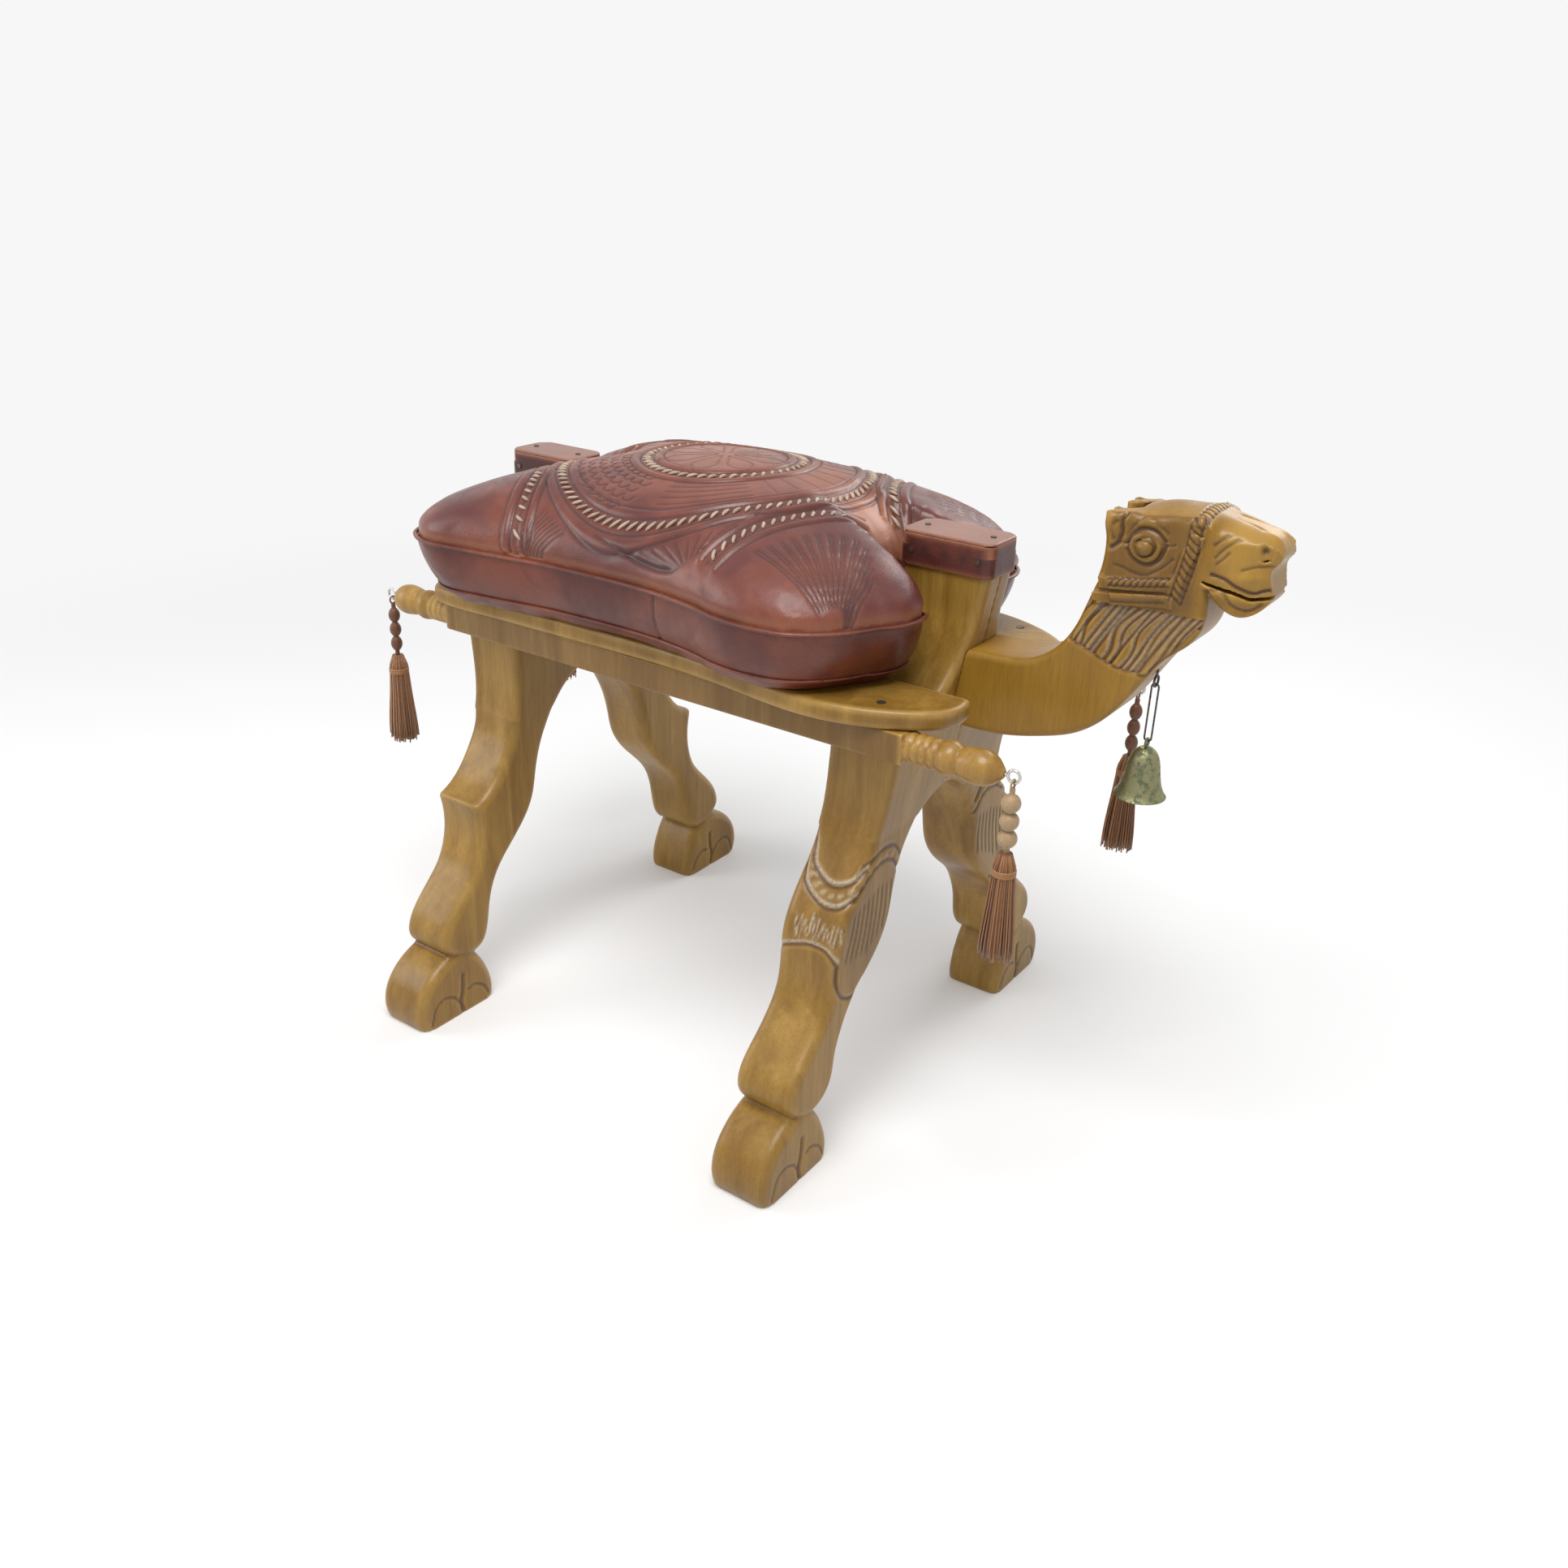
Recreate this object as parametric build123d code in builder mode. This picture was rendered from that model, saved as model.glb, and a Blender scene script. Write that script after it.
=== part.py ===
"""Camel saddle stool: two carved frames of two planks each, rails with turned ends, bowed side boards,
a carved neck and head, a lobed leather cushion, four silk tassels and a bell. Millimetres, +Z up,
+X towards the camel's nose, origin on the floor under the middle of the whole length."""

import os
from math import cos, hypot, radians, sin

from build123d import *

# Overall sizes
nose_reach = 438.0        # seat centre to the tip of the nose
head_top = 530.0          # floor to the top of the head
rail_reach = 306.0        # seat centre to the tip of each turned rail end
stance = 232.0            # middle plane to the outside of a foot
shoulder_z = 364.0        # floor to the top of the frame shoulders and of the rails
post_top = 478.0          # floor to the top of the wooden posts
plank = 54.0              # thickness of the leg and neck planks
overrun = 20.0            # how far cutting shapes run past what they cut
fit = 0.05                # radial clearance round dowels, nails and screw shanks
soft_gap = 0.3            # gap between a soft or swinging part and what it hangs or rests on

# Frames
front_inside = 149.0      # seat centre to the rear face of the front planks
rear_inside = 172.0       # seat centre to the front face of the rear planks
block_z = 262.0           # height where the legs run into the frame's upper block
front_lean = 33.0         # how far the front face of the front post leans forward
front_inner_lean = 14.0   # the same for its rear face
rear_lean = 14.0          # how far the rear face of the rear post leans back
post_half = 20.0          # half width of a post
shoulder_half = 58.0      # half width of the frame where the flared post ends
leg_round = 8.0           # soft edges of the legs
foot_round = 9.0          # soft edges of the feet
block_round = 6.0         # soft edges of the upper block

# Rails and boards
rail_side = 24.0
rail_y = 108.0            # middle plane to the rail axis
rail_square = 230.0       # seat centre to the end of the rail's square part
rail_round = 2.0
rib_count = 4
rib_share = 0.0855        # width of a rib, as a share of the turned end's length
rib_radius = 11.7
rib_valley = 10.2
bead_share = 0.2105       # the same for the bead
bead_radius = 13.0
neck_radius = 9.5
bulb_radius = 13.2
board_thick = 15.0
board_bulge = 137.0       # middle plane to the outer edge at its widest
board_reach = 252.0       # half the length of a board
board_x = 3.0             # seat centre to the middle of a board
board_round = 4.0

# Nails, tacks and dowels
nail_radius = 1.6
nail_head_radius = 3.5
nail_head = 1.4           # thickness of a sunk nail head
nail_length = 32.0
nail_places = [-215.0, -75.0, 50.0, 205.0]
dowel_radius = 5.0
dowel_length = 36.0
low_dowel_z = 316.0
high_dowel_drop = 42.0    # post top to the upper dowel between the glued halves
root_dowel_inset = 15.5   # edges of the neck's root to its dowels
tack_radius = 0.7
tack_head_radius = 2.2
tack_head = 0.8
tack_length = 9.0
tack_inset = 9.0          # post corner to the nearest tack

# Leather caps
leather = 2.2
cap_height = 24.0

# Cushion
cushion_x = -13.0         # seat centre to the cushion's centre
cushion_length = 231.0    # centre to the tip of a rear lobe
cushion_lobe = 160.0      # half width over the front lobes
band_low = 11.0           # underside to the middle of the lower welt
band_high = 51.0          # underside to the middle of the upper welt
crown_rise = 72.0         # upper welt to the top of the crown
welt = 4.6                # thickness of the piped seams

# Screw eyes and tassels
eye_radius = 4.5
eye_wire = 1.1
eye_shank = 14.0
eye_stand = 1.0           # wood to the ring
loop_radius = 3.2
loop_wire = 0.8
string_radius = 2.0
string_length = 4.5       # bare string above the first knot and below the last
knot_length = 13.5
knot_count = 3
knot_small = 5.2          # radius of the knots on three of the tassels
knot_large = 7.0          # radius of the knots on the front right tassel
skirt_length = 85.0
skirt_neck = 4.5
skirt_head = 8.4
skirt_foot = 13.5

# Neck and head
root_drop = 54.0          # foot of the cap to the top of the neck's root
root_height = 59.0
head_round = 5.0
muzzle_length = 56.0      # length over which the muzzle narrows
muzzle_half = 16.0
ear_gap = 12.0            # middle plane to the inner face of an ear
ball_radius = 8.0
ball_proud = 2.4
lid_radius = 10.8
lid_width = 2.2
lid_rise = 1.2            # how far the eyelid stands out of the cheek
strap_width = 8.0
strap_proud = 1.8
nostril_radius = 2.6
mouth_cut = 2.4           # width of the mouth line
mouth_depth = 4.0

# Bell
bell_eye_radius = 4.0
bell_eye_wire = 0.9
bell_eye_shank = 16.0
bell_eye_stand = 6.0      # ring to the wood under the throat
link_half = 2.6
link_wire = 0.7
link_length = 45.0
crown_radius = 3.2
crown_wire = 0.9
bell_height = 37.0
bell_mouth = 19.0
bell_shoulder = 10.8      # outer radius at the height of the clapper's pin
bell_boss = 4.2
bell_wall = 1.6
pin_radius = 0.7
pin_drop = 9.0            # bell top to the clapper's pin
clapper_ring = 1.9
clapper_wire = 0.6
clapper_rod = 0.9
clapper_ball = 3.4
clapper_reach = 33.0      # pin to the middle of the clapper's ball

# Places that follow from the sizes above
ring_x = rail_reach + eye_stand + eye_wire + eye_radius
seat_x = (ring_x + skirt_foot - nose_reach) / 2
cap_foot_z = post_top - cap_height     # where the leaning posts turn upright
root_high = cap_foot_z - root_drop
root_low = root_high - root_height
turned_length = rail_reach - rail_square
rib_width = rib_share * turned_length
bead_width = bead_share * turned_length
front_outside = front_inside + plank
rear_outside = rear_inside + plank
rail_z = shoulder_z - rail_side / 2
rail_inner = rail_y - rail_side / 2
board_top = shoulder_z + board_thick
cushion_z = board_top + soft_gap
slope = front_lean / (cap_foot_z - block_z)

side_plane = Plane(origin=(seat_x, 0, 0), x_dir=(1, 0, 0), z_dir=(0, -1, 0))
os.makedirs("parts", exist_ok=True)


def save(part, name):
    """Labels a finished piece and writes it to its own file."""
    part.label = name
    export_step(part, f"parts/{name}.step")


def cross_plane(x):
    """The plane across the stool at x from the seat centre: local x is Y and local y is Z."""
    return Plane.YZ.offset(seat_x + x)


def level_plane(z, x=0, y=0):
    """The level plane at height z with its origin x and y from the seat centre."""
    return Plane(origin=(seat_x + x, y, z))


def place(x, y, z):
    """The location of a point given from the seat centre."""
    return Location((seat_x + x, y, z))


def sized(shares, width, height, x=0, z=0):
    """Outline points from shares of a width and a height, counted from (x, z)."""
    return [(x + wide * width, z + high * height) for wide, high in shares]


# Legs and frames. The outlines are hand-chosen shares of the stance and of the shoulder height.
front_outer_shares = [(0.435, 0.720), (0.457, 0.687), (0.517, 0.635), (0.586, 0.577), (0.625, 0.519),
                      (0.634, 0.451), (0.651, 0.393), (0.703, 0.343), (0.780, 0.297), (0.853, 0.242),
                      (0.858, 0.203)]
front_inner_shares = [(0.603, 0.198), (0.586, 0.253), (0.552, 0.310), (0.491, 0.368), (0.427, 0.404),
                      (0.362, 0.440), (0.302, 0.495), (0.272, 0.571), (0.237, 0.643), (0.172, 0.698),
                      (0.138, 0.720)]
rear_knee_shares = [(0.435, 0.720), (0.440, 0.687), (0.487, 0.626), (0.560, 0.569), (0.651, 0.536)]
rear_outer_shares = [(0.651, 0.536), (0.638, 0.500), (0.634, 0.453), (0.647, 0.407), (0.677, 0.363),
                     (0.733, 0.321), (0.806, 0.272), (0.845, 0.231), (0.849, 0.192)]
rear_inner_shares = [(0.616, 0.210), (0.599, 0.266), (0.560, 0.330), (0.483, 0.387), (0.397, 0.442),
                     (0.341, 0.500), (0.319, 0.558), (0.280, 0.637), (0.224, 0.700), (0.203, 0.720)]
ankle_shares = [(0.819, 0.170), (0.741, 0.148), (0.655, 0.159)]
foot_shares = [(0.983, 0.0), (1.0, 0.038), (0.983, 0.091), (0.927, 0.135), (0.845, 0.165),
               (0.759, 0.173), (0.690, 0.143), (0.642, 0.093), (0.616, 0.038), (0.621, 0.0)]
front_arch_shares = [(0.138, 0.720), (0.086, 0.742), (0.0, 0.758)]
rear_arch_shares = [(0.203, 0.720), (0.138, 0.762), (0.069, 0.787), (0.0, 0.797)]
flare_shares = [(1.0, 0.733), (1.25, 0.456), (1.65, 0.267), (2.2, 0.111)]
hip_slope_share = 0.4


def plank_shape(x, curves, softness):
    """A plank cut to a closed chain of curves in the cross plane at x, with softened edges."""
    with BuildPart() as shape:
        with BuildSketch(cross_plane(x)):
            with BuildLine():
                lines = [Spline(*points) for points in curves]
                Line(lines[-1] @ 1, lines[0] @ 0)
            make_face()
        extrude(amount=plank)
        ends = shape.faces().sort_by(Axis.X)
        fillet((ends[0].edges() + ends[-1].edges()).filter_by(GeomType.BSPLINE), radius=softness)
    return shape.part


def upper_block(x, knee, arch, face_points):
    """Half of a frame's shoulders and post; face_points is its outline seen from the side."""
    with BuildPart() as block:
        with BuildSketch(cross_plane(x - overrun)):
            with BuildLine():
                flare = sized(flare_shares, post_half, cap_foot_z - shoulder_z, z=shoulder_z)
                glue = Line((0, arch[-1][1]), (0, post_top))
                head = Line(glue @ 1, (post_half, post_top))
                upright = Line(head @ 1, flare[0])
                curve = Spline(*flare, (shoulder_half, shoulder_z),
                               tangents=[(0, -1), (1, -hip_slope_share)])
                shoulder = Line(curve @ 1, (rail_inner, shoulder_z))
                cheek = Line(shoulder @ 1, (rail_inner, shoulder_z - rail_side))
                hip = Spline(cheek @ 1, knee, tangents=[(0, -1), (hip_slope_share, -1)])
                Line(hip @ 1, arch[0])
                Spline(*arch)
            make_face()
        extrude(amount=plank + front_lean + 2 * overrun)
        with BuildSketch(side_plane):
            with BuildLine():
                Polyline(*face_points, close=True)
            make_face()
        extrude(amount=stance, both=True, mode=Mode.INTERSECT)
        posts = [e for e in block.edges().filter_by(Axis.Z)
                 if e.center().Z > cap_foot_z and e.center().Y > post_half / 2]
        fillet(block.edges().filter_by(GeomType.BSPLINE) + posts, radius=block_round)
    return block.part


def half_frame(x, outer, inner, arch, face_points):
    """One plank of a frame on the +Y side, from the hoof to the top of the post."""
    leg = [sized(shares, stance, shoulder_z) for shares in outer]
    leg[-1] += sized(ankle_shares + inner, stance, shoulder_z)
    with BuildPart() as half:
        add(plank_shape(x, leg, leg_round))
        add(plank_shape(x, [sized(foot_shares, stance, shoulder_z)], foot_round))
        add(upper_block(x, leg[0][0], sized(arch, stance, shoulder_z), face_points))
    return half.part


front_face = [(front_outside, block_z), (front_outside + front_lean, cap_foot_z),
              (front_outside + front_lean, post_top), (front_inside + front_inner_lean, post_top),
              (front_inside + front_inner_lean, cap_foot_z), (front_inside, block_z)]
rear_face = [(-rear_inside, block_z), (-rear_inside, post_top), (-rear_outside - rear_lean, post_top),
             (-rear_outside - rear_lean, cap_foot_z), (-rear_outside, block_z)]
front_half = half_frame(front_inside, [front_outer_shares], front_inner_shares, front_arch_shares,
                        front_face)
rear_half = half_frame(-rear_outside, [rear_knee_shares, rear_outer_shares], rear_inner_shares,
                       rear_arch_shares, rear_face)
front_middle = front_inside + plank / 2
rear_middle = -rear_inside - plank / 2
front_post = (front_inside + front_inner_lean, front_outside + front_lean)
rear_post = (-rear_outside - rear_lean, -rear_inside)


def slope_x(z):
    """Where the leaning front face of the front frame stands at height z."""
    return front_outside + slope * (z - block_z)


def pegs(spots, radius, length, both=True):
    """Round pegs centred on the given planes, along each plane's normal."""
    with BuildPart() as group:
        with BuildSketch(*spots):
            Circle(radius)
        extrude(amount=length / 2, both=both)
    return group.part


def across(x, y, z):
    """A plane whose normal runs across the stool, at a point given from the seat centre."""
    return Plane(origin=(seat_x + x, y, z), x_dir=(1, 0, 0), z_dir=(0, -1, 0))


def along(x, y, z):
    """A plane whose normal runs along the stool, at a point given from the seat centre."""
    return Plane(origin=(seat_x + x, y, z), x_dir=(0, 1, 0), z_dir=(1, 0, 0))


# Dowels: across the glued halves of each frame, through the rails into the shoulders, into the neck
frame_dowel_z = [low_dowel_z, post_top - high_dowel_drop]
neck_dowel_z = [root_low + root_dowel_inset, root_high - root_dowel_inset]
glue_spots = {"front": [across(front_middle + slope * (z - block_z) / 2, 0, z) for z in frame_dowel_z],
              "rear": [across(rear_middle, 0, z) for z in frame_dowel_z]}
neck_spots = [along(slope_x(z), 0, z) for z in neck_dowel_z]
rail_spots = {side: [across(x, sign * rail_inner, rail_z) for x in (front_middle, rear_middle)]
              for side, sign in (("left", 1), ("right", -1))}
dowel_hole = (dowel_radius + fit, dowel_length + 2 * fit)
save(pegs(glue_spots["front"], dowel_radius, dowel_length), "frame_dowels_front")
save(pegs(glue_spots["rear"], dowel_radius, dowel_length), "frame_dowels_rear")
save(pegs(neck_spots, dowel_radius, dowel_length), "neck_dowels")
for side in ("left", "right"):
    save(pegs(rail_spots[side], dowel_radius, dowel_length), f"rail_dowels_{side}")


# Leather caps and their tacks
def rounded(post, grow, height, z):
    """A block round a post's top, grown sideways, with corners that keep the same gap."""
    with BuildPart() as shape:
        with BuildSketch(level_plane(z, (post[0] + post[1]) / 2)):
            RectangleRounded(post[1] - post[0] + 2 * grow, 2 * (post_half + grow), block_round + grow)
        extrude(amount=height)
    return shape.part


def tack_planes(post):
    """Where the tacks of one cap go in: two from above and two from each side."""
    low, high = post[0] + tack_inset, post[1] - tack_inset
    middle = post_top - cap_height / 2
    top = [level_plane(post_top + leather, x) for x in (low, high)]
    sides = []
    for x in (low, high):
        for sign in (1, -1):
            sides.append(Plane(origin=(seat_x + x, sign * (post_half + leather + fit), middle),
                               x_dir=(1, 0, 0), z_dir=(0, sign, 0)))
    return top + sides


def tacks(post, grow=0.0):
    """The tacks of one cap, or with grow the holes that they sit in."""
    with BuildPart() as group:
        with BuildSketch(*tack_planes(post)):
            Circle(tack_radius + grow)
        extrude(amount=-tack_length - grow)
        if not grow:
            with BuildSketch(*tack_planes(post)):
                Circle(tack_head_radius)
            extrude(amount=tack_head)
    return group.part


for end, post in (("front", front_post), ("rear", rear_post)):
    holes = tacks(post, fit)
    save(tacks(post), f"cap_tacks_{end}")
    with BuildPart() as cap_band:
        add(rounded(post, fit + leather, cap_height, post_top - cap_height))
        add(rounded(post, fit, cap_height, post_top - cap_height), mode=Mode.SUBTRACT)
        add(holes, mode=Mode.SUBTRACT)
    save(cap_band.part, f"{end}_cap_band")
    with BuildPart() as cap_top:
        add(rounded(post, fit + leather, leather, post_top))
        add(holes, mode=Mode.SUBTRACT)
        chamfer(cap_top.faces().sort_by(Axis.Z)[-1].outer_wire().edges(), length=leather / 2)
    save(cap_top.part, f"{end}_cap_top")

# The four leg planks, with their dowel and tack holes
for end, half, post in (("front", front_half, front_post), ("rear", rear_half, rear_post)):
    for side in ("left", "right"):
        with BuildPart() as leg:
            add(half if side == "left" else half.mirror(Plane.XZ))
            add(pegs(glue_spots[end], *dowel_hole), mode=Mode.SUBTRACT)
            add(pegs(rail_spots[side], *dowel_hole), mode=Mode.SUBTRACT)
            add(tacks(post, fit), mode=Mode.SUBTRACT)
            if end == "front":
                add(pegs(neck_spots, *dowel_hole), mode=Mode.SUBTRACT)
        save(leg.part, f"{end}_leg_{side}")

# Side boards: shares of the board's half length and of its widest half width, for the left side
board_shares = [(-0.990, 0.453), (-1.0, 0.600), (-0.996, 0.760), (-0.968, 0.880), (-0.900, 0.924),
                (-0.726, 0.923), (-0.528, 0.912), (-0.250, 0.903), (-0.012, 0.898), (0.226, 0.920),
                (0.425, 0.971), (0.583, 1.0), (0.722, 0.971), (0.841, 0.890), (0.940, 0.774),
                (0.985, 0.680), (0.998, 0.570), (0.990, 0.453)]


def nail_planes(sign):
    """The planes of one board's nail heads, sunk level with the board's top."""
    return [level_plane(board_top, x, sign * rail_y) for x in nail_places]


def nails(sign, grow=0.0):
    """The nails of one side, or with grow the holes that they sit in."""
    with BuildPart() as group:
        with BuildSketch(*nail_planes(sign)):
            Circle(nail_radius + grow)
        extrude(amount=-nail_length - grow)
        with BuildSketch(*nail_planes(sign)):
            Circle(nail_head_radius + grow)
        extrude(amount=-nail_head)
    return group.part


for side, sign in (("left", 1), ("right", -1)):
    save(nails(sign), f"board_nails_{side}")
    with BuildPart() as board:
        with BuildSketch(level_plane(shoulder_z)):
            with BuildLine():
                outline = sized(board_shares, board_reach, board_bulge * sign, x=board_x)
                edge = Spline(*outline)
                Line(edge @ 1, edge @ 0)
            make_face()
        extrude(amount=board_thick)
        fillet(board.edges().filter_by(GeomType.BSPLINE), radius=board_round)
        add(nails(sign, fit), mode=Mode.SUBTRACT)
    save(board.part, f"side_board_{side}")

# Rails: a square bar with turned ribs, a bead and a pear-shaped bulb at each end
bulb_shares = [(0.0, 0.72), (0.22, 0.93), (0.5, 1.0), (0.78, 0.74), (0.94, 0.36)]


def turned_end(direction):
    """The turned end of a rail in its own plane, along +x or -x from the square part's end."""
    rib_top = rail_square + rib_count * rib_width
    bead_end = rib_top + bead_width
    plane = Plane(origin=(seat_x, 0, rail_z), x_dir=(direction, 0, 0), z_dir=(0, -direction, 0))
    with BuildPart() as shape:
        with BuildSketch(plane):
            with BuildLine():
                start = (rail_square, rib_valley)
                Line((rail_square, 0), start)
                for rib in range(rib_count):
                    x = rail_square + rib * rib_width
                    ThreePointArc((x, rib_valley), (x + rib_width / 2, rib_radius),
                                  (x + rib_width, rib_valley))
                bead = ThreePointArc((rib_top, rib_valley), (rib_top + bead_width / 2, bead_radius),
                                     (bead_end, neck_radius))
                bulb = sized(bulb_shares, rail_reach - bead_end, bulb_radius, x=bead_end)
                pear = Spline(bead @ 1, *bulb[1:], (rail_reach, 0), tangents=[(1, 1), (0, -1)])
                Line(pear @ 1, (rail_square, 0))
            make_face()
        revolve(axis=Axis((seat_x, 0, rail_z), (1, 0, 0)))
    return shape.part


with BuildPart() as bare_rail:
    with BuildSketch(cross_plane(-rail_square)):
        with Locations((0, rail_z)):
            RectangleRounded(rail_side, rail_side, rail_round)
    extrude(amount=2 * rail_square)
    add(turned_end(1))
    add(turned_end(-1))


def eye_part(name, ring_plane, shank_plane, radius, wire, shank):
    """A screw eye: a ring round the plane's normal, with a shank along the other plane's normal."""
    with BuildPart() as eye:
        with BuildSketch(shank_plane):
            Circle(wire)
        extrude(amount=shank)
        with Locations(ring_plane.location):
            Torus(radius, wire)
    save(eye.part, name)


corners = [(end, side, way, sign) for end, way in (("front", 1), ("rear", -1))
           for side, sign in (("left", 1), ("right", -1))]
shank_length = eye_stand + eye_shank


def shank_planes(sign, start):
    """Planes at the two ends of one rail, facing into the wood, start past the seat centre."""
    return [Plane(origin=(seat_x + way * start, sign * rail_y, rail_z), x_dir=(0, 1, 0),
                  z_dir=(-way, 0, 0)) for way in (1, -1)]


for side, sign in (("left", 1), ("right", -1)):
    with BuildPart() as rail:
        add(bare_rail.part.moved(Location((0, sign * rail_y, 0))))
        add(pegs(rail_spots[side], *dowel_hole), mode=Mode.SUBTRACT)
        add(nails(sign, fit), mode=Mode.SUBTRACT)
        with BuildSketch(*shank_planes(sign, rail_reach + overrun)):
            Circle(eye_wire + fit)
        extrude(amount=overrun + eye_shank + fit, mode=Mode.SUBTRACT)
    save(rail.part, f"side_rail_{side}")

# Screw eyes and tassels at the four rail ends
loop_drop = eye_radius - eye_wire + loop_radius - loop_wire - soft_gap
string_top = rail_z - loop_drop - loop_radius
string_low = string_top - 2 * string_length - knot_count * knot_length
skirt_shares = [(0.06, 0.95), (0.13, 1.0), (0.20, 0.86)]
skirt_slopes = (0.2, 0.1)  # how the flare leaves the tied waist and reaches its foot


def knotted_string(x, y, radius):
    """The loop through the screw eye and the knotted string down to the skirt."""
    middle = Plane(origin=(seat_x + x, y, 0), x_dir=(1, 0, 0), z_dir=(0, -1, 0))
    with BuildPart() as cord:
        with BuildSketch(middle):
            with BuildLine():
                top = string_top - string_length
                Line((0, string_top), (string_radius, string_top))
                Line((string_radius, string_top), (string_radius, top))
                for knot in range(knot_count):
                    z = top - knot * knot_length
                    ThreePointArc((string_radius, z), (radius, z - knot_length / 2),
                                  (string_radius, z - knot_length))
                Line((string_radius, string_low + string_length), (string_radius, string_low))
                Line((string_radius, string_low), (0, string_low))
                Line((0, string_low), (0, string_top))
            make_face()
        revolve(axis=Axis((seat_x + x, y, 0), (0, 0, 1)))
        with Locations(along(x, y, rail_z - loop_drop).location):
            Torus(loop_radius, loop_wire)
    return cord.part


def tassel_skirt(x, y):
    """The silk skirt: a rounded head, a tied waist and a long flare."""
    middle = Plane(origin=(seat_x + x, y, 0), x_dir=(1, 0, 0), z_dir=(0, -1, 0))
    foot = string_low - skirt_length
    with BuildPart() as skirt:
        with BuildSketch(middle):
            with BuildLine():
                head = [(skirt_head * wide, string_low - skirt_length * down)
                        for down, wide in skirt_shares]
                Line((0, string_low), (skirt_neck, string_low))
                crown = Spline((skirt_neck, string_low), *head)
                flare = Spline(crown @ 1, (skirt_foot, foot), tangents=[(skirt_slopes[0], -1), (skirt_slopes[1], -1)])
                Line(flare @ 1, (0, foot))
                Line((0, foot), (0, string_low))
            make_face()
        revolve(axis=Axis((seat_x + x, y, 0), (0, 0, 1)))
    return skirt.part


for end, side, way, sign in corners:
    x, y = way * ring_x, sign * rail_y
    ring = across(x, y, rail_z)
    shank = Plane(origin=(seat_x + x - way * eye_radius, y, rail_z), x_dir=(0, 1, 0), z_dir=(-way, 0, 0))
    eye_part(f"screw_eye_{end}_{side}", ring, shank, eye_radius, eye_wire, shank_length + eye_wire)
    knot = knot_large if (end, side) == ("front", "right") else knot_small
    save(knotted_string(x, y, knot), f"tassel_cord_{end}_{side}")
    save(tassel_skirt(x, y), f"tassel_skirt_{end}_{side}")

# Neck and head: one plank. Shares of its length from root to nose and of its height.
mane_shares = [(0.160, 0.323), (0.277, 0.344), (0.381, 0.444), (0.408, 0.497), (0.431, 0.566),
               (0.449, 0.630), (0.472, 0.704)]
nape_share = (0.620, 0.800)
poll_shares = [(0.463, 0.700), (0.477, 0.794), (0.476, 0.873), (0.472, 0.947)]
brow_shares = [(0.472, 0.947), (0.580, 0.968), (0.675, 0.987), (0.774, 0.995), (0.851, 0.984),
               (0.910, 0.966), (0.964, 0.942), (0.995, 0.905)]
lip_shares = [(0.995, 0.905), (0.995, 0.868), (0.977, 0.831), (0.982, 0.783), (0.991, 0.741)]
jaw_shares = [(0.991, 0.741), (0.959, 0.683), (0.910, 0.656), (0.855, 0.677), (0.806, 0.741)]
throat_shares = [(0.219, 0.005), (0.350, 0.042), (0.449, 0.085), (0.535, 0.159), (0.598, 0.249),
                 (0.666, 0.376), (0.715, 0.455), (0.770, 0.513), (0.806, 0.582), (0.815, 0.656),
                 (0.806, 0.741)]
neck_length = nose_reach - slope_x(root_low)
neck_height = head_top - root_low


def neck_points(shares):
    """Outline points of the neck and head in the side plane."""
    return sized(shares, neck_length, neck_height, x=slope_x(root_low), z=root_low)


def profile_block(curves):
    """A piece of the neck plank cut to a closed chain of curves seen from the side, edges softened."""
    with BuildPart() as block:
        with BuildSketch(side_plane):
            with BuildLine():
                for curve in curves:
                    if len(curve) > 2:
                        Spline(*curve)
                    else:
                        Line(*curve)
            make_face()
        extrude(amount=plank / 2, both=True)
        cheeks = block.faces().filter_by(Axis.Y)
        fillet(cheeks.edges().filter_by(GeomType.BSPLINE), radius=head_round)
    return block.part


def cheek_planes(depth):
    """The planes of the two cheeks, facing outwards, moved inwards by depth."""
    return [Plane(origin=(seat_x, sign * (plank / 2 - depth), 0), x_dir=(1, 0, 0), z_dir=(0, sign, 0))
            for sign in (1, -1)]


def on_cheek(point, plane):
    """A point of the side view in a cheek plane's own coordinates, where z may run down."""
    return (point[0], point[1] * plane.y_dir.Z)


def strap(shares):
    """A flat strap along a line of points, on both cheeks."""
    with BuildPart() as straps:
        for plane in cheek_planes(strap_proud):
            with BuildSketch(plane):
                with BuildLine():
                    Polyline(*[on_cheek(point, plane) for point in neck_points(shares)])
                trace(line_width=strap_width)
        extrude(amount=2 * strap_proud)
    return straps.part


# The bridle's straps, the mouth line and the notch between the ears, as the same shares
nose_strap_shares = [(0.766, 0.940), (0.735, 0.810), (0.712, 0.700)]
upper_strap_shares = [(0.478, 0.695), (0.712, 0.725)]
lower_strap_shares = [(0.462, 0.635), (0.712, 0.665)]
mouth_shares = [(0.790, 0.762), (0.890, 0.745), (0.935, 0.728), (1.02, 0.745)]
ear_notch_shares = [(0.430, 0.830), (0.600, 1.0), (0.600, 1.1), (0.430, 1.1)]
eye_share = (0.607, 0.852)
nostril_share = (0.959, 0.884)
bell_share = (0.661, 0.376)   # where the bell's screw eye leaves the throat

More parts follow.
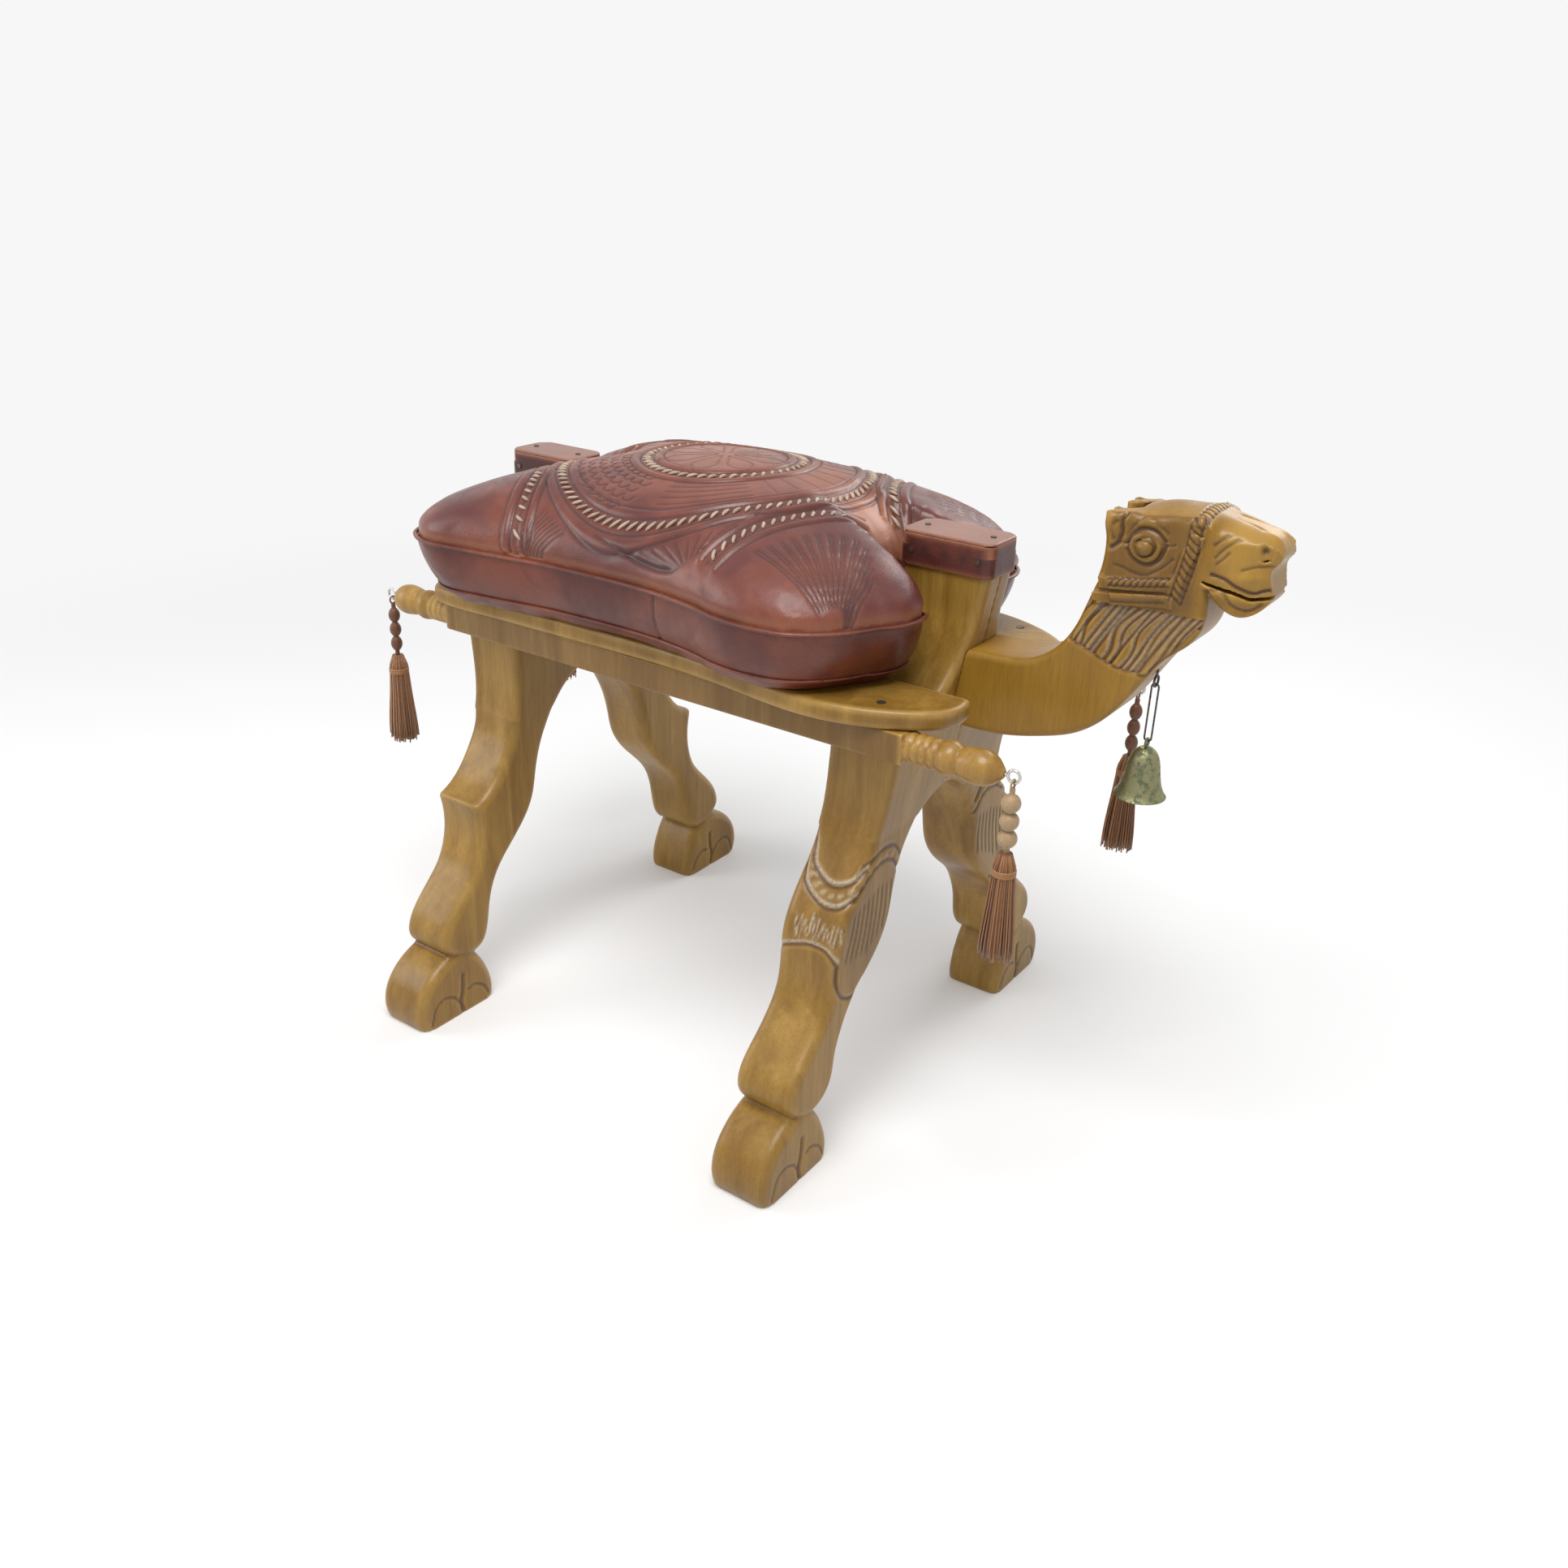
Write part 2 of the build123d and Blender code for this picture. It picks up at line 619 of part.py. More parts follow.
mane = neck_points(mane_shares)
throat = neck_points(throat_shares)
root = [(slope_x(root_low), root_low), (slope_x(root_high), root_high)]
nape = neck_points([nape_share])[0]
poll = neck_points(poll_shares)
eye_place, nostril_place, (bell_x, throat_z) = neck_points([eye_share, nostril_share, bell_share])
bell_eye_z = throat_z - bell_eye_radius - bell_eye_stand
with BuildPart() as neck_and_head:
    add(profile_block([root, root[1:] + mane, (mane[-1], nape), (nape, throat[-1]), root[:1] + throat]))
    add(profile_block([poll, neck_points(brow_shares), neck_points(lip_shares),
                       neck_points(jaw_shares), (throat[-1], poll[0])]))
    nose_x = nose_reach - muzzle_length
    with BuildSketch(level_plane(root_low)):
        for sign in (1, -1):
            with BuildLine():
                taper = Spline((nose_x, sign * plank / 2), (nose_reach, sign * muzzle_half),
                               tangents=[(1, 0), (1, -sign)])
                Polyline(taper @ 1, (nose_reach + overrun, sign * muzzle_half),
                         (nose_reach + overrun, sign * plank), (nose_x, sign * plank), taper @ 0)
            make_face()
    extrude(amount=neck_height + overrun, mode=Mode.SUBTRACT)
    with BuildSketch(side_plane):
        with BuildLine():
            Polyline(*neck_points(ear_notch_shares), close=True)
        make_face()
    extrude(amount=ear_gap, both=True, mode=Mode.SUBTRACT)
    for plane in cheek_planes(plank / 2 - muzzle_half + mouth_depth):
        with BuildSketch(plane):
            with BuildLine():
                Polyline(*[on_cheek(point, plane) for point in neck_points(mouth_shares)])
            trace(line_width=mouth_cut)
        extrude(amount=plank, mode=Mode.SUBTRACT)
    for sign in (1, -1):
        with Locations(across(nostril_place[0], sign * plank / 2, nostril_place[1]).location):
            Cylinder(nostril_radius, 2 * (plank / 2 - muzzle_half + nostril_radius), mode=Mode.SUBTRACT)
        with Locations(place(eye_place[0], sign * (plank / 2 + ball_proud - ball_radius), eye_place[1])):
            Sphere(ball_radius)
    for plane in cheek_planes(lid_rise):
        with BuildSketch(plane):
            with Locations(on_cheek(eye_place, plane)):
                Circle(lid_radius)
                Circle(lid_radius - lid_width, mode=Mode.SUBTRACT)
        extrude(amount=2 * lid_rise)
    for shares in (nose_strap_shares, upper_strap_shares, lower_strap_shares):
        add(strap(shares))
    add(pegs(neck_spots, *dowel_hole), mode=Mode.SUBTRACT)
    with BuildSketch(level_plane(bell_eye_z, bell_x)):
        Circle(bell_eye_wire + fit)
    extrude(amount=bell_eye_radius + bell_eye_stand + bell_eye_shank + fit, mode=Mode.SUBTRACT)
save(neck_and_head.part, "neck_and_head")

# Bell: a screw eye under the throat, a long wire link, the bell with its crown ring, pin and clapper
link_top = bell_eye_z - bell_eye_radius + bell_eye_wire + soft_gap + link_wire - link_half
link_low = link_top - link_length + 2 * (link_half + link_wire)
crown_z = link_low - link_half + link_wire + crown_wire + soft_gap - crown_radius
bell_top = crown_z - crown_radius - crown_wire / 2
pin_z = bell_top - pin_drop
ring_z = pin_z + pin_radius + soft_gap - clapper_ring + clapper_wire
bell_shares = [(0.44, 0.10), (0.66, 0.50), (0.76, 0.75), (0.88, 0.91), (1.0, 1.0)]
bell_plane = Plane(origin=(seat_x + bell_x, 0, bell_top), x_dir=(1, 0, 0), z_dir=(0, -1, 0))
bell_axis = Axis((seat_x + bell_x, 0, 0), (0, 0, 1))

eye_top = Plane(origin=(seat_x + bell_x, 0, bell_eye_z + bell_eye_radius), z_dir=(0, 0, 1))
eye_part("bell_eye", along(bell_x, 0, bell_eye_z), eye_top, bell_eye_radius, bell_eye_wire,
         bell_eye_stand + bell_eye_shank)

with BuildPart() as bell_hanger:
    with BuildLine(Plane(origin=(seat_x + bell_x, 0, 0), x_dir=(1, 0, 0), z_dir=(0, -1, 0))):
        ahead = Line((link_half, link_low), (link_half, link_top))
        ThreePointArc(ahead @ 1, (0, link_top + link_half), (-link_half, link_top))
        behind = Line((-link_half, link_top), (-link_half, link_low))
        ThreePointArc(behind @ 1, (0, link_low - link_half), ahead @ 0)
    with BuildSketch(level_plane(link_low, bell_x + link_half)):
        Circle(link_wire)
    sweep()
save(bell_hanger.part, "bell_hanger")


def bell_body(wall):
    """The bell's outer form, or with a wall thickness the hollow inside it."""
    points = [(bell_boss - wall, -wall), (bell_mouth * bell_shares[0][0] - wall,
                                          -bell_height * bell_shares[0][1] - wall)]
    points += [(bell_shoulder - wall, -pin_drop)]
    points += [(bell_mouth * wide - wall, -bell_height * down) for wide, down in bell_shares[1:]]
    with BuildPart() as body:
        with BuildSketch(bell_plane):
            with BuildLine():
                flank = Spline(*points)
                Polyline(flank @ 1, (0, -bell_height), (0, -wall), flank @ 0)
            make_face()
        revolve(axis=bell_axis)
    return body.part


with BuildPart() as bell:
    add(bell_body(0))
    add(bell_body(bell_wall), mode=Mode.SUBTRACT)
    with BuildSketch(across(bell_x, 0, pin_z)):
        Circle(pin_radius + fit)
    extrude(amount=bell_mouth, both=True, mode=Mode.SUBTRACT)
    with Locations(along(bell_x, 0, crown_z).location):
        Torus(crown_radius, crown_wire)
save(bell.part, "bell")
save(pegs([across(bell_x, 0, pin_z)], pin_radius, 2 * bell_shoulder), "clapper_pin")

with BuildPart() as clapper:
    with Locations(across(bell_x, 0, ring_z).location):
        Torus(clapper_ring, clapper_wire)
    with BuildSketch(level_plane(pin_z - clapper_reach, bell_x)):
        Circle(clapper_rod)
    extrude(amount=clapper_reach + ring_z - pin_z - clapper_ring)
    with Locations(place(bell_x, 0, pin_z - clapper_reach)):
        Sphere(clapper_ball)
save(clapper.part, "clapper")

# Cushion: quarters of the lobed outline as shares of its length and of its half width over the lobes
front_lobe_shares = [(0.0, 0.869), (0.195, 0.888), (0.381, 0.944), (0.554, 1.0), (0.714, 0.969),
                     (0.831, 0.825), (0.900, 0.640), (0.955, 0.480), (0.945, 0.355), (0.848, 0.319),
                     (0.745, 0.275), (0.684, 0.163), (0.675, 0.0)]
rear_lobe_shares = [(0.0, 0.869), (0.195, 0.875), (0.381, 0.894), (0.563, 0.938), (0.736, 0.975),
                    (0.896, 0.944), (0.985, 0.781), (1.0, 0.575), (0.960, 0.375), (0.866, 0.319),
                    (0.735, 0.275), (0.656, 0.163), (0.648, 0.0)]
round_shares = (0.80, 0.86)
band_shares = [(0.0, 0.89), (band_low, 0.93), ((band_low + band_high) / 2, 0.965), (band_high, 1.0)]
crown_steps = 8
crown_sweep = 86          # degrees of the arc that the crown follows from the upper welt
crown_full = 0.75         # below one the crown bulges more than an arc


def lobed_quarter(shares, size, calm, grow):
    """Points of a quarter outline; calm moves it to a plain oval, grow pushes it outwards."""
    points = sized(shares, cushion_length, cushion_lobe)
    mirrored = [(-points[1][0], points[1][1])] + points + [(points[-2][0], -points[-2][1])]
    result = []
    for before, (x, y), after in zip(mirrored, points, mirrored[2:]):
        oval = 1 / hypot(x / (cushion_length * round_shares[0]), y / (cushion_lobe * round_shares[1]))
        scale = size * (1 - calm + calm * oval)
        run, fall = after[0] - before[0], before[1] - after[1]
        step = grow / hypot(run, fall)
        result.append((x * scale + fall * step, y * scale + run * step))
    return result


def lobed_face(height, size=1.0, calm=0.0, grow=0.0):
    """The cushion's outline at a height over its underside, drawn as four mirrored quarters."""
    with BuildSketch(level_plane(cushion_z + height, cushion_x)) as face:
        with BuildLine():
            for way, sign in ((1, 1), (1, -1), (-1, -1), (-1, 1)):
                shares = front_lobe_shares if way > 0 else rear_lobe_shares
                points = [(way * x, sign * y) for x, y in lobed_quarter(shares, size, calm, grow)]
                if way != sign:
                    points.reverse()
                for start, through, end in zip(points[::2], points[1::2], points[2::2]):
                    ThreePointArc(start, through, end)
        make_face()
    return face.sketch


def band_size(height):
    """Size of the cushion's outline at a height on its band, as a share of the size at the upper welt."""
    for (low, small), (high, large) in zip(band_shares, band_shares[1:]):
        if height <= high:
            return small + (large - small) * (height - low) / (high - low)
    return 1.0


with BuildPart() as cushion:
    sections = [(height, size, 0.0) for height, size in band_shares]
    for step in range(1, crown_steps + 1):
        angle = radians(crown_sweep * step / crown_steps)
        sections.append((band_high + crown_rise * sin(angle), cos(angle) ** crown_full, sin(angle) ** 2))
    loft([lobed_face(*section) for section in sections], ruled=True)
save(cushion.part, "cushion")

piping_shares = [(0.0, 0.6), (0.25, 1.0), (0.75, 1.0), (1.0, 0.6)]
for name, middle in (("bottom", band_low), ("top", band_high)):
    with BuildPart() as piping:
        levels = [middle + (up - 1 / 2) * welt for up, out in piping_shares]
        loft([lobed_face(level, band_size(level), grow=soft_gap + out * welt)
              for level, (up, out) in zip(levels, piping_shares)], ruled=True)
        loft([lobed_face(level, band_size(level), grow=soft_gap)
              for level in (middle - welt, middle, middle + welt)], ruled=True, mode=Mode.SUBTRACT)
    save(piping.part, f"cushion_welt_{name}")
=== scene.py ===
import math

import bmesh
import bpy
import numpy as np
from mathutils import Matrix, Vector
from mathutils.bvhtree import BVHTree


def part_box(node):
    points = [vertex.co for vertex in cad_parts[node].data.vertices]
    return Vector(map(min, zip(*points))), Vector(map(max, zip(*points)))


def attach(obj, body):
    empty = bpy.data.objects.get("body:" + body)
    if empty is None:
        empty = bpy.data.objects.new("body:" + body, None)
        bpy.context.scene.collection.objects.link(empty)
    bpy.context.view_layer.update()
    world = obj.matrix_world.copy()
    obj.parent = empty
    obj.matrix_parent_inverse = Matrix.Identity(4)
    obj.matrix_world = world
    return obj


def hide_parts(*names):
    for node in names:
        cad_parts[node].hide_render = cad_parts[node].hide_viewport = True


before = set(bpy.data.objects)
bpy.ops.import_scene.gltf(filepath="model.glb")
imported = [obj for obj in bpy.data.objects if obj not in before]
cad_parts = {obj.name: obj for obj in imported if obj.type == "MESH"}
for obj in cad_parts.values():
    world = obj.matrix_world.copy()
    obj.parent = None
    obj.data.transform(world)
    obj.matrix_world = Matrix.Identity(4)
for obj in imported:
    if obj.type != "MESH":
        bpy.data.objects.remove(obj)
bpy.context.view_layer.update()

# Named sizes, in millimetres. X runs forward from the seat's centre, Y to the object's left and Z up.
MM = 0.001
post_top = 478
band_low, band_high = 11, 51  # underside of the cushion to its two piped seams
cushion_under = 379.3
band_bulge = 4.6  # how far the band stands out between its two seams
crown_puff = 3.4  # and the leather of the crown beyond the plain solid
seam_fill = 0.7  # leather drawn out to the piping, and the piping drawn in to the leather
stitch_gap = 8.2
square_from, square_to = 224, 232  # where the painted shade on a rail's square part fades, from its middle
seam_hold = 3.2  # leather nearer to a seam than this stays where it is
cloth_reach = 5  # the furthest that the simulation moves the leather
above_all = 560  # a height over the whole cushion, from which rays fall on it
tack_inset, tack_drop = 7, 12  # the cap's tacks from its corners and from the post's top
strand_radius, tie_radius, tie_pitch = 0.62, 1.0, 1.6

# Named values that are no sizes.
cloth_pressure, cloth_steps = 4, 20
paper_white = 0.93
golden_angle = 2.399963  # in radians; strands at this step fill a round skirt evenly

# The places that the frame gives, in the row frame's metres.
rail_low, rail_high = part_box("side_rail_left")
seat_x = (rail_low.x + rail_high.x) / 2 / MM
SEAT = np.array((seat_x, 0, 0))

coarser = 1.0


def seat(x, y, z):
    """A place in the seat's own millimetres, as a vector in the row frame's metres."""
    return Vector(((x + seat_x) * MM, y * MM, z * MM))


def rows(points):
    """Places in the seat's own millimetres, as an array in the row frame's metres."""
    return (np.asarray(points, float) + SEAT) * MM


def smooth_step(value, low, high):
    """0 below low, 1 above high and an easy slope between them."""
    share = np.clip((value - low) / (high - low), 0, 1)
    return share * share * (3 - 2 * share)


def bell_curve(value, width):
    """1 in the middle, falling softly to nearly nothing at the width."""
    return np.exp(-((2 * value / width) ** 2))


def spline(points, per=8):
    """A smooth line through given points."""
    p = np.asarray(points, float)
    p = np.vstack((2 * p[0] - p[1], p, 2 * p[-1] - p[-2]))
    out = []
    for a, b, c, d in zip(p[:-3], p[1:-2], p[2:-1], p[3:]):
        for t in np.arange(per) / per:
            bend = (2 * a - 5 * b + 4 * c - d) * t**2 + (3 * b - a - 3 * c + d) * t**3
            out.append(0.5 * (2 * b + (c - a) * t + bend))
    out.append(p[-2])
    return np.array(out)


def ring_line(x, y, reach_x, reach_y, start=0, turn=360, steps=20):
    """An arc of an ellipse in plan, by its angles in degrees."""
    angles = np.radians(start + np.linspace(0, turn, steps + 1))
    return np.stack((x + reach_x * np.cos(angles), y + reach_y * np.sin(angles)), 1)


def evenly(line, gap):
    """Points along a line, the same distance apart."""
    line = np.asarray(line, float)
    runs = np.linalg.norm(np.diff(line, axis=0), axis=1)
    along = np.concatenate(([0], np.cumsum(runs)))
    count = max(2, int(round(along[-1] / gap)) + 1)
    marks = np.linspace(0, along[-1], count)
    return np.stack([np.interp(marks, along, line[:, k]) for k in range(line.shape[1])], 1)


def away(points, line):
    """How far flat points lie from a line, how far along it the nearest place is, and on which side."""
    best = np.full(len(points), 1e9)
    along = np.zeros(len(points))
    side = np.zeros(len(points))
    run = 0
    for a, b in zip(line[:-1], line[1:]):
        step = b - a
        length = math.sqrt(step @ step)
        if length < 1e-9:
            continue
        share = np.clip((points - a) @ step / length**2, 0, 1)
        gap = points - a - share[:, None] * step
        distance = np.sqrt((gap * gap).sum(1))
        closer = distance < best
        best[closer] = distance[closer]
        along[closer] = run + share[closer] * length
        side[closer] = np.sign(step[0] * gap[closer, 1] - step[1] * gap[closer, 0])
        run += length
    return best, along, side


# Materials


class Paint:
    """A material's node tree, with short calls that add nodes and join them."""

    def __init__(self, name):
        self.material = bpy.data.materials.new(name)
        self.material.use_nodes = True
        self.tree = self.material.node_tree
        self.shader = self.tree.nodes["Principled BSDF"]
        self.place = self.node("ShaderNodeTexCoord").outputs["Object"]

    def node(self, kind, values=None, **settings):
        made = self.tree.nodes.new(kind)
        for key, value in settings.items():
            setattr(made, key, value)
        for key, value in (values or {}).items():
            self.give(made.inputs[key], value)
        return made

    def give(self, socket, value):
        if isinstance(value, bpy.types.NodeSocket):
            self.tree.links.new(value, socket)
        else:
            socket.default_value = value

    def stretched(self, scale, turn):
        mapping = self.node("ShaderNodeMapping", {"Vector": self.place, "Scale": scale, "Rotation": turn})
        return mapping.outputs["Vector"]

    def noise(self, scale, detail=4, rough=0.5, place=None, distortion=0):
        values = {"Scale": scale, "Detail": detail, "Roughness": rough, "Distortion": distortion}
        values["Vector"] = place or self.place
        return self.node("ShaderNodeTexNoise", values).outputs[0]

    def spots(self, scale):
        return self.node("ShaderNodeTexVoronoi", {"Scale": scale, "Vector": self.place}).outputs["Distance"]

    def ease(self, value, low, high, start=0.0, end=1.0):
        values = {"Value": value, "From Min": low, "From Max": high, "To Min": start, "To Max": end}
        return self.node("ShaderNodeMapRange", values, interpolation_type="SMOOTHSTEP").outputs[0]

    def blend(self, share, first, second, kind="MIX"):
        made = self.node("ShaderNodeMix", data_type="RGBA", blend_type=kind)
        self.give(made.inputs[0], share)
        for socket, value in ((made.inputs[6], first), (made.inputs[7], second)):
            self.give(socket, (*value, 1) if isinstance(value, tuple) else value)
        return made.outputs[2]

    def tinted(self, share, colour, value, low, high, first, second):
        """A share of the colour multiplied by a tint that follows a value."""
        tint = self.blend(self.ease(value, low, high), first, second)
        return self.blend(share, colour, tint, "MULTIPLY")

    def maths(self, kind, first, second):
        made = self.node("ShaderNodeMath", operation=kind)
        self.give(made.inputs[0], first)
        self.give(made.inputs[1], second)
        return made.outputs[0]

    def mark(self, name):
        """A number stored on each vertex of the mesh."""
        return self.node("ShaderNodeAttribute", attribute_name=name).outputs["Fac"]

    def bump(self, height, distance, strength=1.0, under=None):
        values = {"Height": height, "Distance": distance, "Strength": strength}
        made = self.node("ShaderNodeBump", values)
        if under:
            self.give(made.inputs["Normal"], under)
        return made.outputs["Normal"]

    def finish(self, colour, rough, normal=None, **fixed):
        self.give(self.shader.inputs["Base Color"], (*colour, 1) if isinstance(colour, tuple) else colour)
        self.give(self.shader.inputs["Roughness"], rough)
        if normal:
            self.give(self.shader.inputs["Normal"], normal)
        for key, value in fixed.items():
            self.shader.inputs[key.replace("_", " ")].default_value = value
        return self.material


def wood(name, light, dark, turn, shine=0.36, grain=1.0):
    """Varnished wood: long streaks of grain, dark stain and painted shade in hollows, dark cut lines with
    painted shade in places, pale dust beside them.
    """
    stain_and_shade = (0.075, 0.028, 0.008)
    paint = Paint(name)
    long_way = paint.stretched((1, 1, 0.06), turn)
    bands = paint.noise(26, 3, 0.55, long_way, 1.2)
    streaks = paint.noise(190, 4, 0.65, long_way)
    pores = paint.noise(900, 2, 0.6, long_way)
    cloud = paint.noise(7, 3, 0.5)
    colour = paint.blend(paint.ease(bands, 0.5 - 0.2 / grain, 0.5 + 0.2 / grain), dark, light)
    colour = paint.tinted(0.55 * grain, colour, streaks, 0.35, 0.75, (0.72, 0.66, 0.55), (1, 1, 1))
    colour = paint.tinted(0.35, colour, pores, 0.3, 0.62, (0.62, 0.55, 0.45), (1, 1, 1))
    colour = paint.tinted(0.8, colour, cloud, 0.3, 0.7, (0.78, 0.70, 0.58), (1.08, 1.06, 1.02))
    # Hollows take the dark stain colour: stain build-up and painted shade.
    colour = paint.blend(paint.maths("MULTIPLY", paint.mark("hollow"), 0.75), colour, stain_and_shade)
    colour = paint.blend(paint.mark("ridge"), colour, tuple(min(1, c * 1.25 + 0.03) for c in light))
    # Dark cut lines; this mark also holds painted shade on the rails' square sides and on the head's sides.
    colour = paint.blend(paint.mark("ink"), colour, tuple(c * 0.8 for c in stain_and_shade))
    speck = paint.ease(paint.noise(420, 3, 0.7), 0.35, 0.6)
    dust = paint.maths("MULTIPLY", paint.mark("dust"), paint.ease(speck, 0, 1, 0.45, 1))
    colour = paint.blend(dust, colour, (0.50, 0.43, 0.32))
    rough = paint.ease(cloud, 0.3, 0.7, shine - 0.05, shine + 0.1)
    rough = paint.maths("ADD", rough, paint.maths("MULTIPLY", dust, 0.3))
    normal = paint.bump(streaks, 0.00025, 0.5)
    normal = paint.bump(pores, 0.0001, 0.5, normal)
    normal = paint.bump(paint.noise(40, 2, 0.5), 0.0006, 0.35, normal)
    return paint.finish(colour, rough, normal, Coat_Weight=0.12, Coat_Roughness=0.2, IOR=1.4)


def hide(name, base, light, shine):
    """Glossy tooled leather: uneven dye with a painted purplish sheen in patches, fine grain, tan wear
    where it is rubbed, dark tooled lines, pale dust with a painted highlight.
    """
    cut = (0.028, 0.010, 0.010)
    paint = Paint(name)
    cloud = paint.noise(9, 4, 0.6)
    wash = paint.noise(24, 5, 0.65, distortion=1.5)
    grain = paint.spots(620)
    fine = paint.noise(1500, 3, 0.6)
    colour = paint.blend(paint.ease(cloud, 0.4, 0.62), base, light)
    # Purplish patches by noise: a painted sheen.
    purple_sheen = (base[0] * 1.15, base[1] * 1.5, base[2] * 2.3)
    colour = paint.blend(paint.maths("MULTIPLY", paint.ease(wash, 0.5, 0.7), 0.6), colour, purple_sheen)
    rubbed = paint.maths("MULTIPLY", paint.mark("wear"), paint.ease(wash, 0.25, 0.6, 0.5, 1))
    colour = paint.blend(rubbed, colour, (0.40, 0.145, 0.065))
    colour = paint.tinted(1.0, colour, fine, 0.3, 0.7, (0.86, 0.84, 0.84), (1.05, 1.05, 1.05))
    colour = paint.blend(paint.mark("ink"), colour, cut)
    # Pale dust, which on the caps' tops is also a painted highlight.
    colour = paint.blend(paint.mark("dust"), colour, (0.47, 0.30, 0.24))
    rough = paint.ease(wash, 0.3, 0.7, shine - 0.06, shine + 0.12)
    normal = paint.bump(grain, 0.00012, 0.6)
    normal = paint.bump(fine, 0.00008, 0.5, normal)
    normal = paint.bump(paint.noise(70, 3, 0.5), 0.0006, 0.35, normal)
    return paint.finish(colour, rough, normal, Coat_Weight=0.18, Coat_Roughness=0.25, IOR=1.42)


def metal(name, base, rust, rough, spotted=0.5):
    """Worn metal with darker spots of tarnish."""
    paint = Paint(name)
    patches = paint.noise(160, 5, 0.65)
    fine = paint.noise(900, 3, 0.6)
    share = paint.ease(patches, spotted, spotted + 0.16)
    colour = paint.blend(share, base, rust)
    colour = paint.tinted(1.0, colour, fine, 0.3, 0.7, (0.8, 0.8, 0.8), (1.1, 1.1, 1.1))
    worn = paint.ease(share, 0, 1, rough, min(1, rough + 0.35))
    normal = paint.bump(fine, 0.00006, 0.6)
    return paint.finish(colour, worn, normal, Metallic=0.9)


def silk(name, base, tip):
    """Shiny thread, a little lighter and darker from strand to strand."""
    paint = Paint(name)
    strand = paint.mark("shade")
    fuzz = paint.noise(1400, 3, 0.6)
    colour = paint.blend(strand, base, tip)
    colour = paint.tinted(1.0, colour, fuzz, 0.3, 0.7, (0.7, 0.68, 0.66), (1.15, 1.12, 1.1))
    rough = paint.ease(fuzz, 0.3, 0.7, 0.4, 0.6)
    normal = paint.bump(fuzz, 0.0001, 0.5)
    return paint.finish(colour, rough, normal, Sheen_Weight=0.3, Sheen_Roughness=0.4)


def ends_paint(name, light, dark):
    """Bare end grain of a peg, with growth rings."""
    paint = Paint(name)
    rings = paint.noise(500, 3, 0.6, distortion=2)
    colour = paint.blend(paint.ease(rings, 0.35, 0.65), dark, light)
    return paint.finish(colour, paint.ease(rings, 0.3, 0.7, 0.45, 0.65), paint.bump(rings, 0.0002))


honey, honey_dark = (0.385, 0.232, 0.050), (0.250, 0.138, 0.020)
amber, amber_dark = (0.355, 0.198, 0.020), (0.225, 0.112, 0.008)
pale, pale_dark = (0.480, 0.300, 0.080), (0.330, 0.185, 0.036)
outward = math.radians(24)
leg_paint = {way: wood(f"leg_wood_{way}", honey, honey_dark, (way * outward, 0, 0)) for way in (-1, 1)}
head_paint = wood("carved_wood", amber, amber_dark, (0, math.radians(-50), 0), grain=0.4)
rail_paint = wood("rail_wood", pale, pale_dark, (0, math.pi / 2, 0))
board_paint = wood("board_wood", honey, honey_dark, (0, math.pi / 2, 0), shine=0.4)
peg_paint = ends_paint("peg_wood", (0.35, 0.21, 0.09), (0.17, 0.085, 0.03))
seat_paint = hide("seat_leather", (0.088, 0.015, 0.011), (0.185, 0.046, 0.024), shine=0.36)
band_paint = hide("band_leather", (0.080, 0.013, 0.008), (0.165, 0.038, 0.018), shine=0.33)
cap_paint = hide("cap_leather", (0.062, 0.012, 0.009), (0.130, 0.034, 0.022), shine=0.44)
welt_paint = hide("welt_leather", (0.095, 0.019, 0.011), (0.200, 0.058, 0.030), shine=0.38)
iron_paint = metal("dark_iron", (0.16, 0.13, 0.11), (0.06, 0.03, 0.02), 0.45)
steel_paint = metal("bright_steel", (0.62, 0.60, 0.56), (0.26, 0.20, 0.15), 0.26, 0.6)
wire_paint = metal("bell_wire", (0.13, 0.11, 0.10), (0.05, 0.03, 0.02), 0.4)
brass_paint = metal("bell_brass", (0.27, 0.26, 0.135), (0.17, 0.185, 0.115), 0.42, 0.46)
cord_paint = silk("tassel_cord", (0.130, 0.045, 0.018), (0.260, 0.110, 0.045))
rust_paint = silk("tassel_silk", (0.150, 0.052, 0.016), (0.360, 0.165, 0.055))
pale_paint = silk("tassel_cord_pale", (0.38, 0.260, 0.135), (0.50, 0.370, 0.220))
lace_paint = silk("lacing", (0.33, 0.240, 0.180), (0.50, 0.400, 0.310))

# Meshes


def add(name, mesh, body, paint):
    """A new piece with its body and its material."""
    made = bpy.data.objects.new(name, mesh)
    bpy.context.collection.objects.link(made)
    mesh.materials.clear()
    mesh.materials.append(paint)
    mesh.polygons.foreach_set("use_smooth", [True] * len(mesh.polygons))
    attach(made, body)
    return made


def build(name, points, faces, body, paint):
    """A piece from points in the seat's millimetres and faces."""
    mesh = bpy.data.meshes.new(name)
    mesh.from_pydata([tuple(p) for p in rows(points)], [], [tuple(f) for f in faces])
    mesh.update()
    return add(name, mesh, body, paint)


def store(mesh, name, values):
    """Keeps one number for each vertex, for the material to read."""
    layer = mesh.attributes.new(name, "FLOAT", "POINT")
    layer.data.foreach_set("value", np.asarray(values, np.float32))


def applied(obj):
    """The mesh that an object's modifiers make."""
    graph = bpy.context.evaluated_depsgraph_get()
    return bpy.data.meshes.new_from_object(obj.evaluated_get(graph))


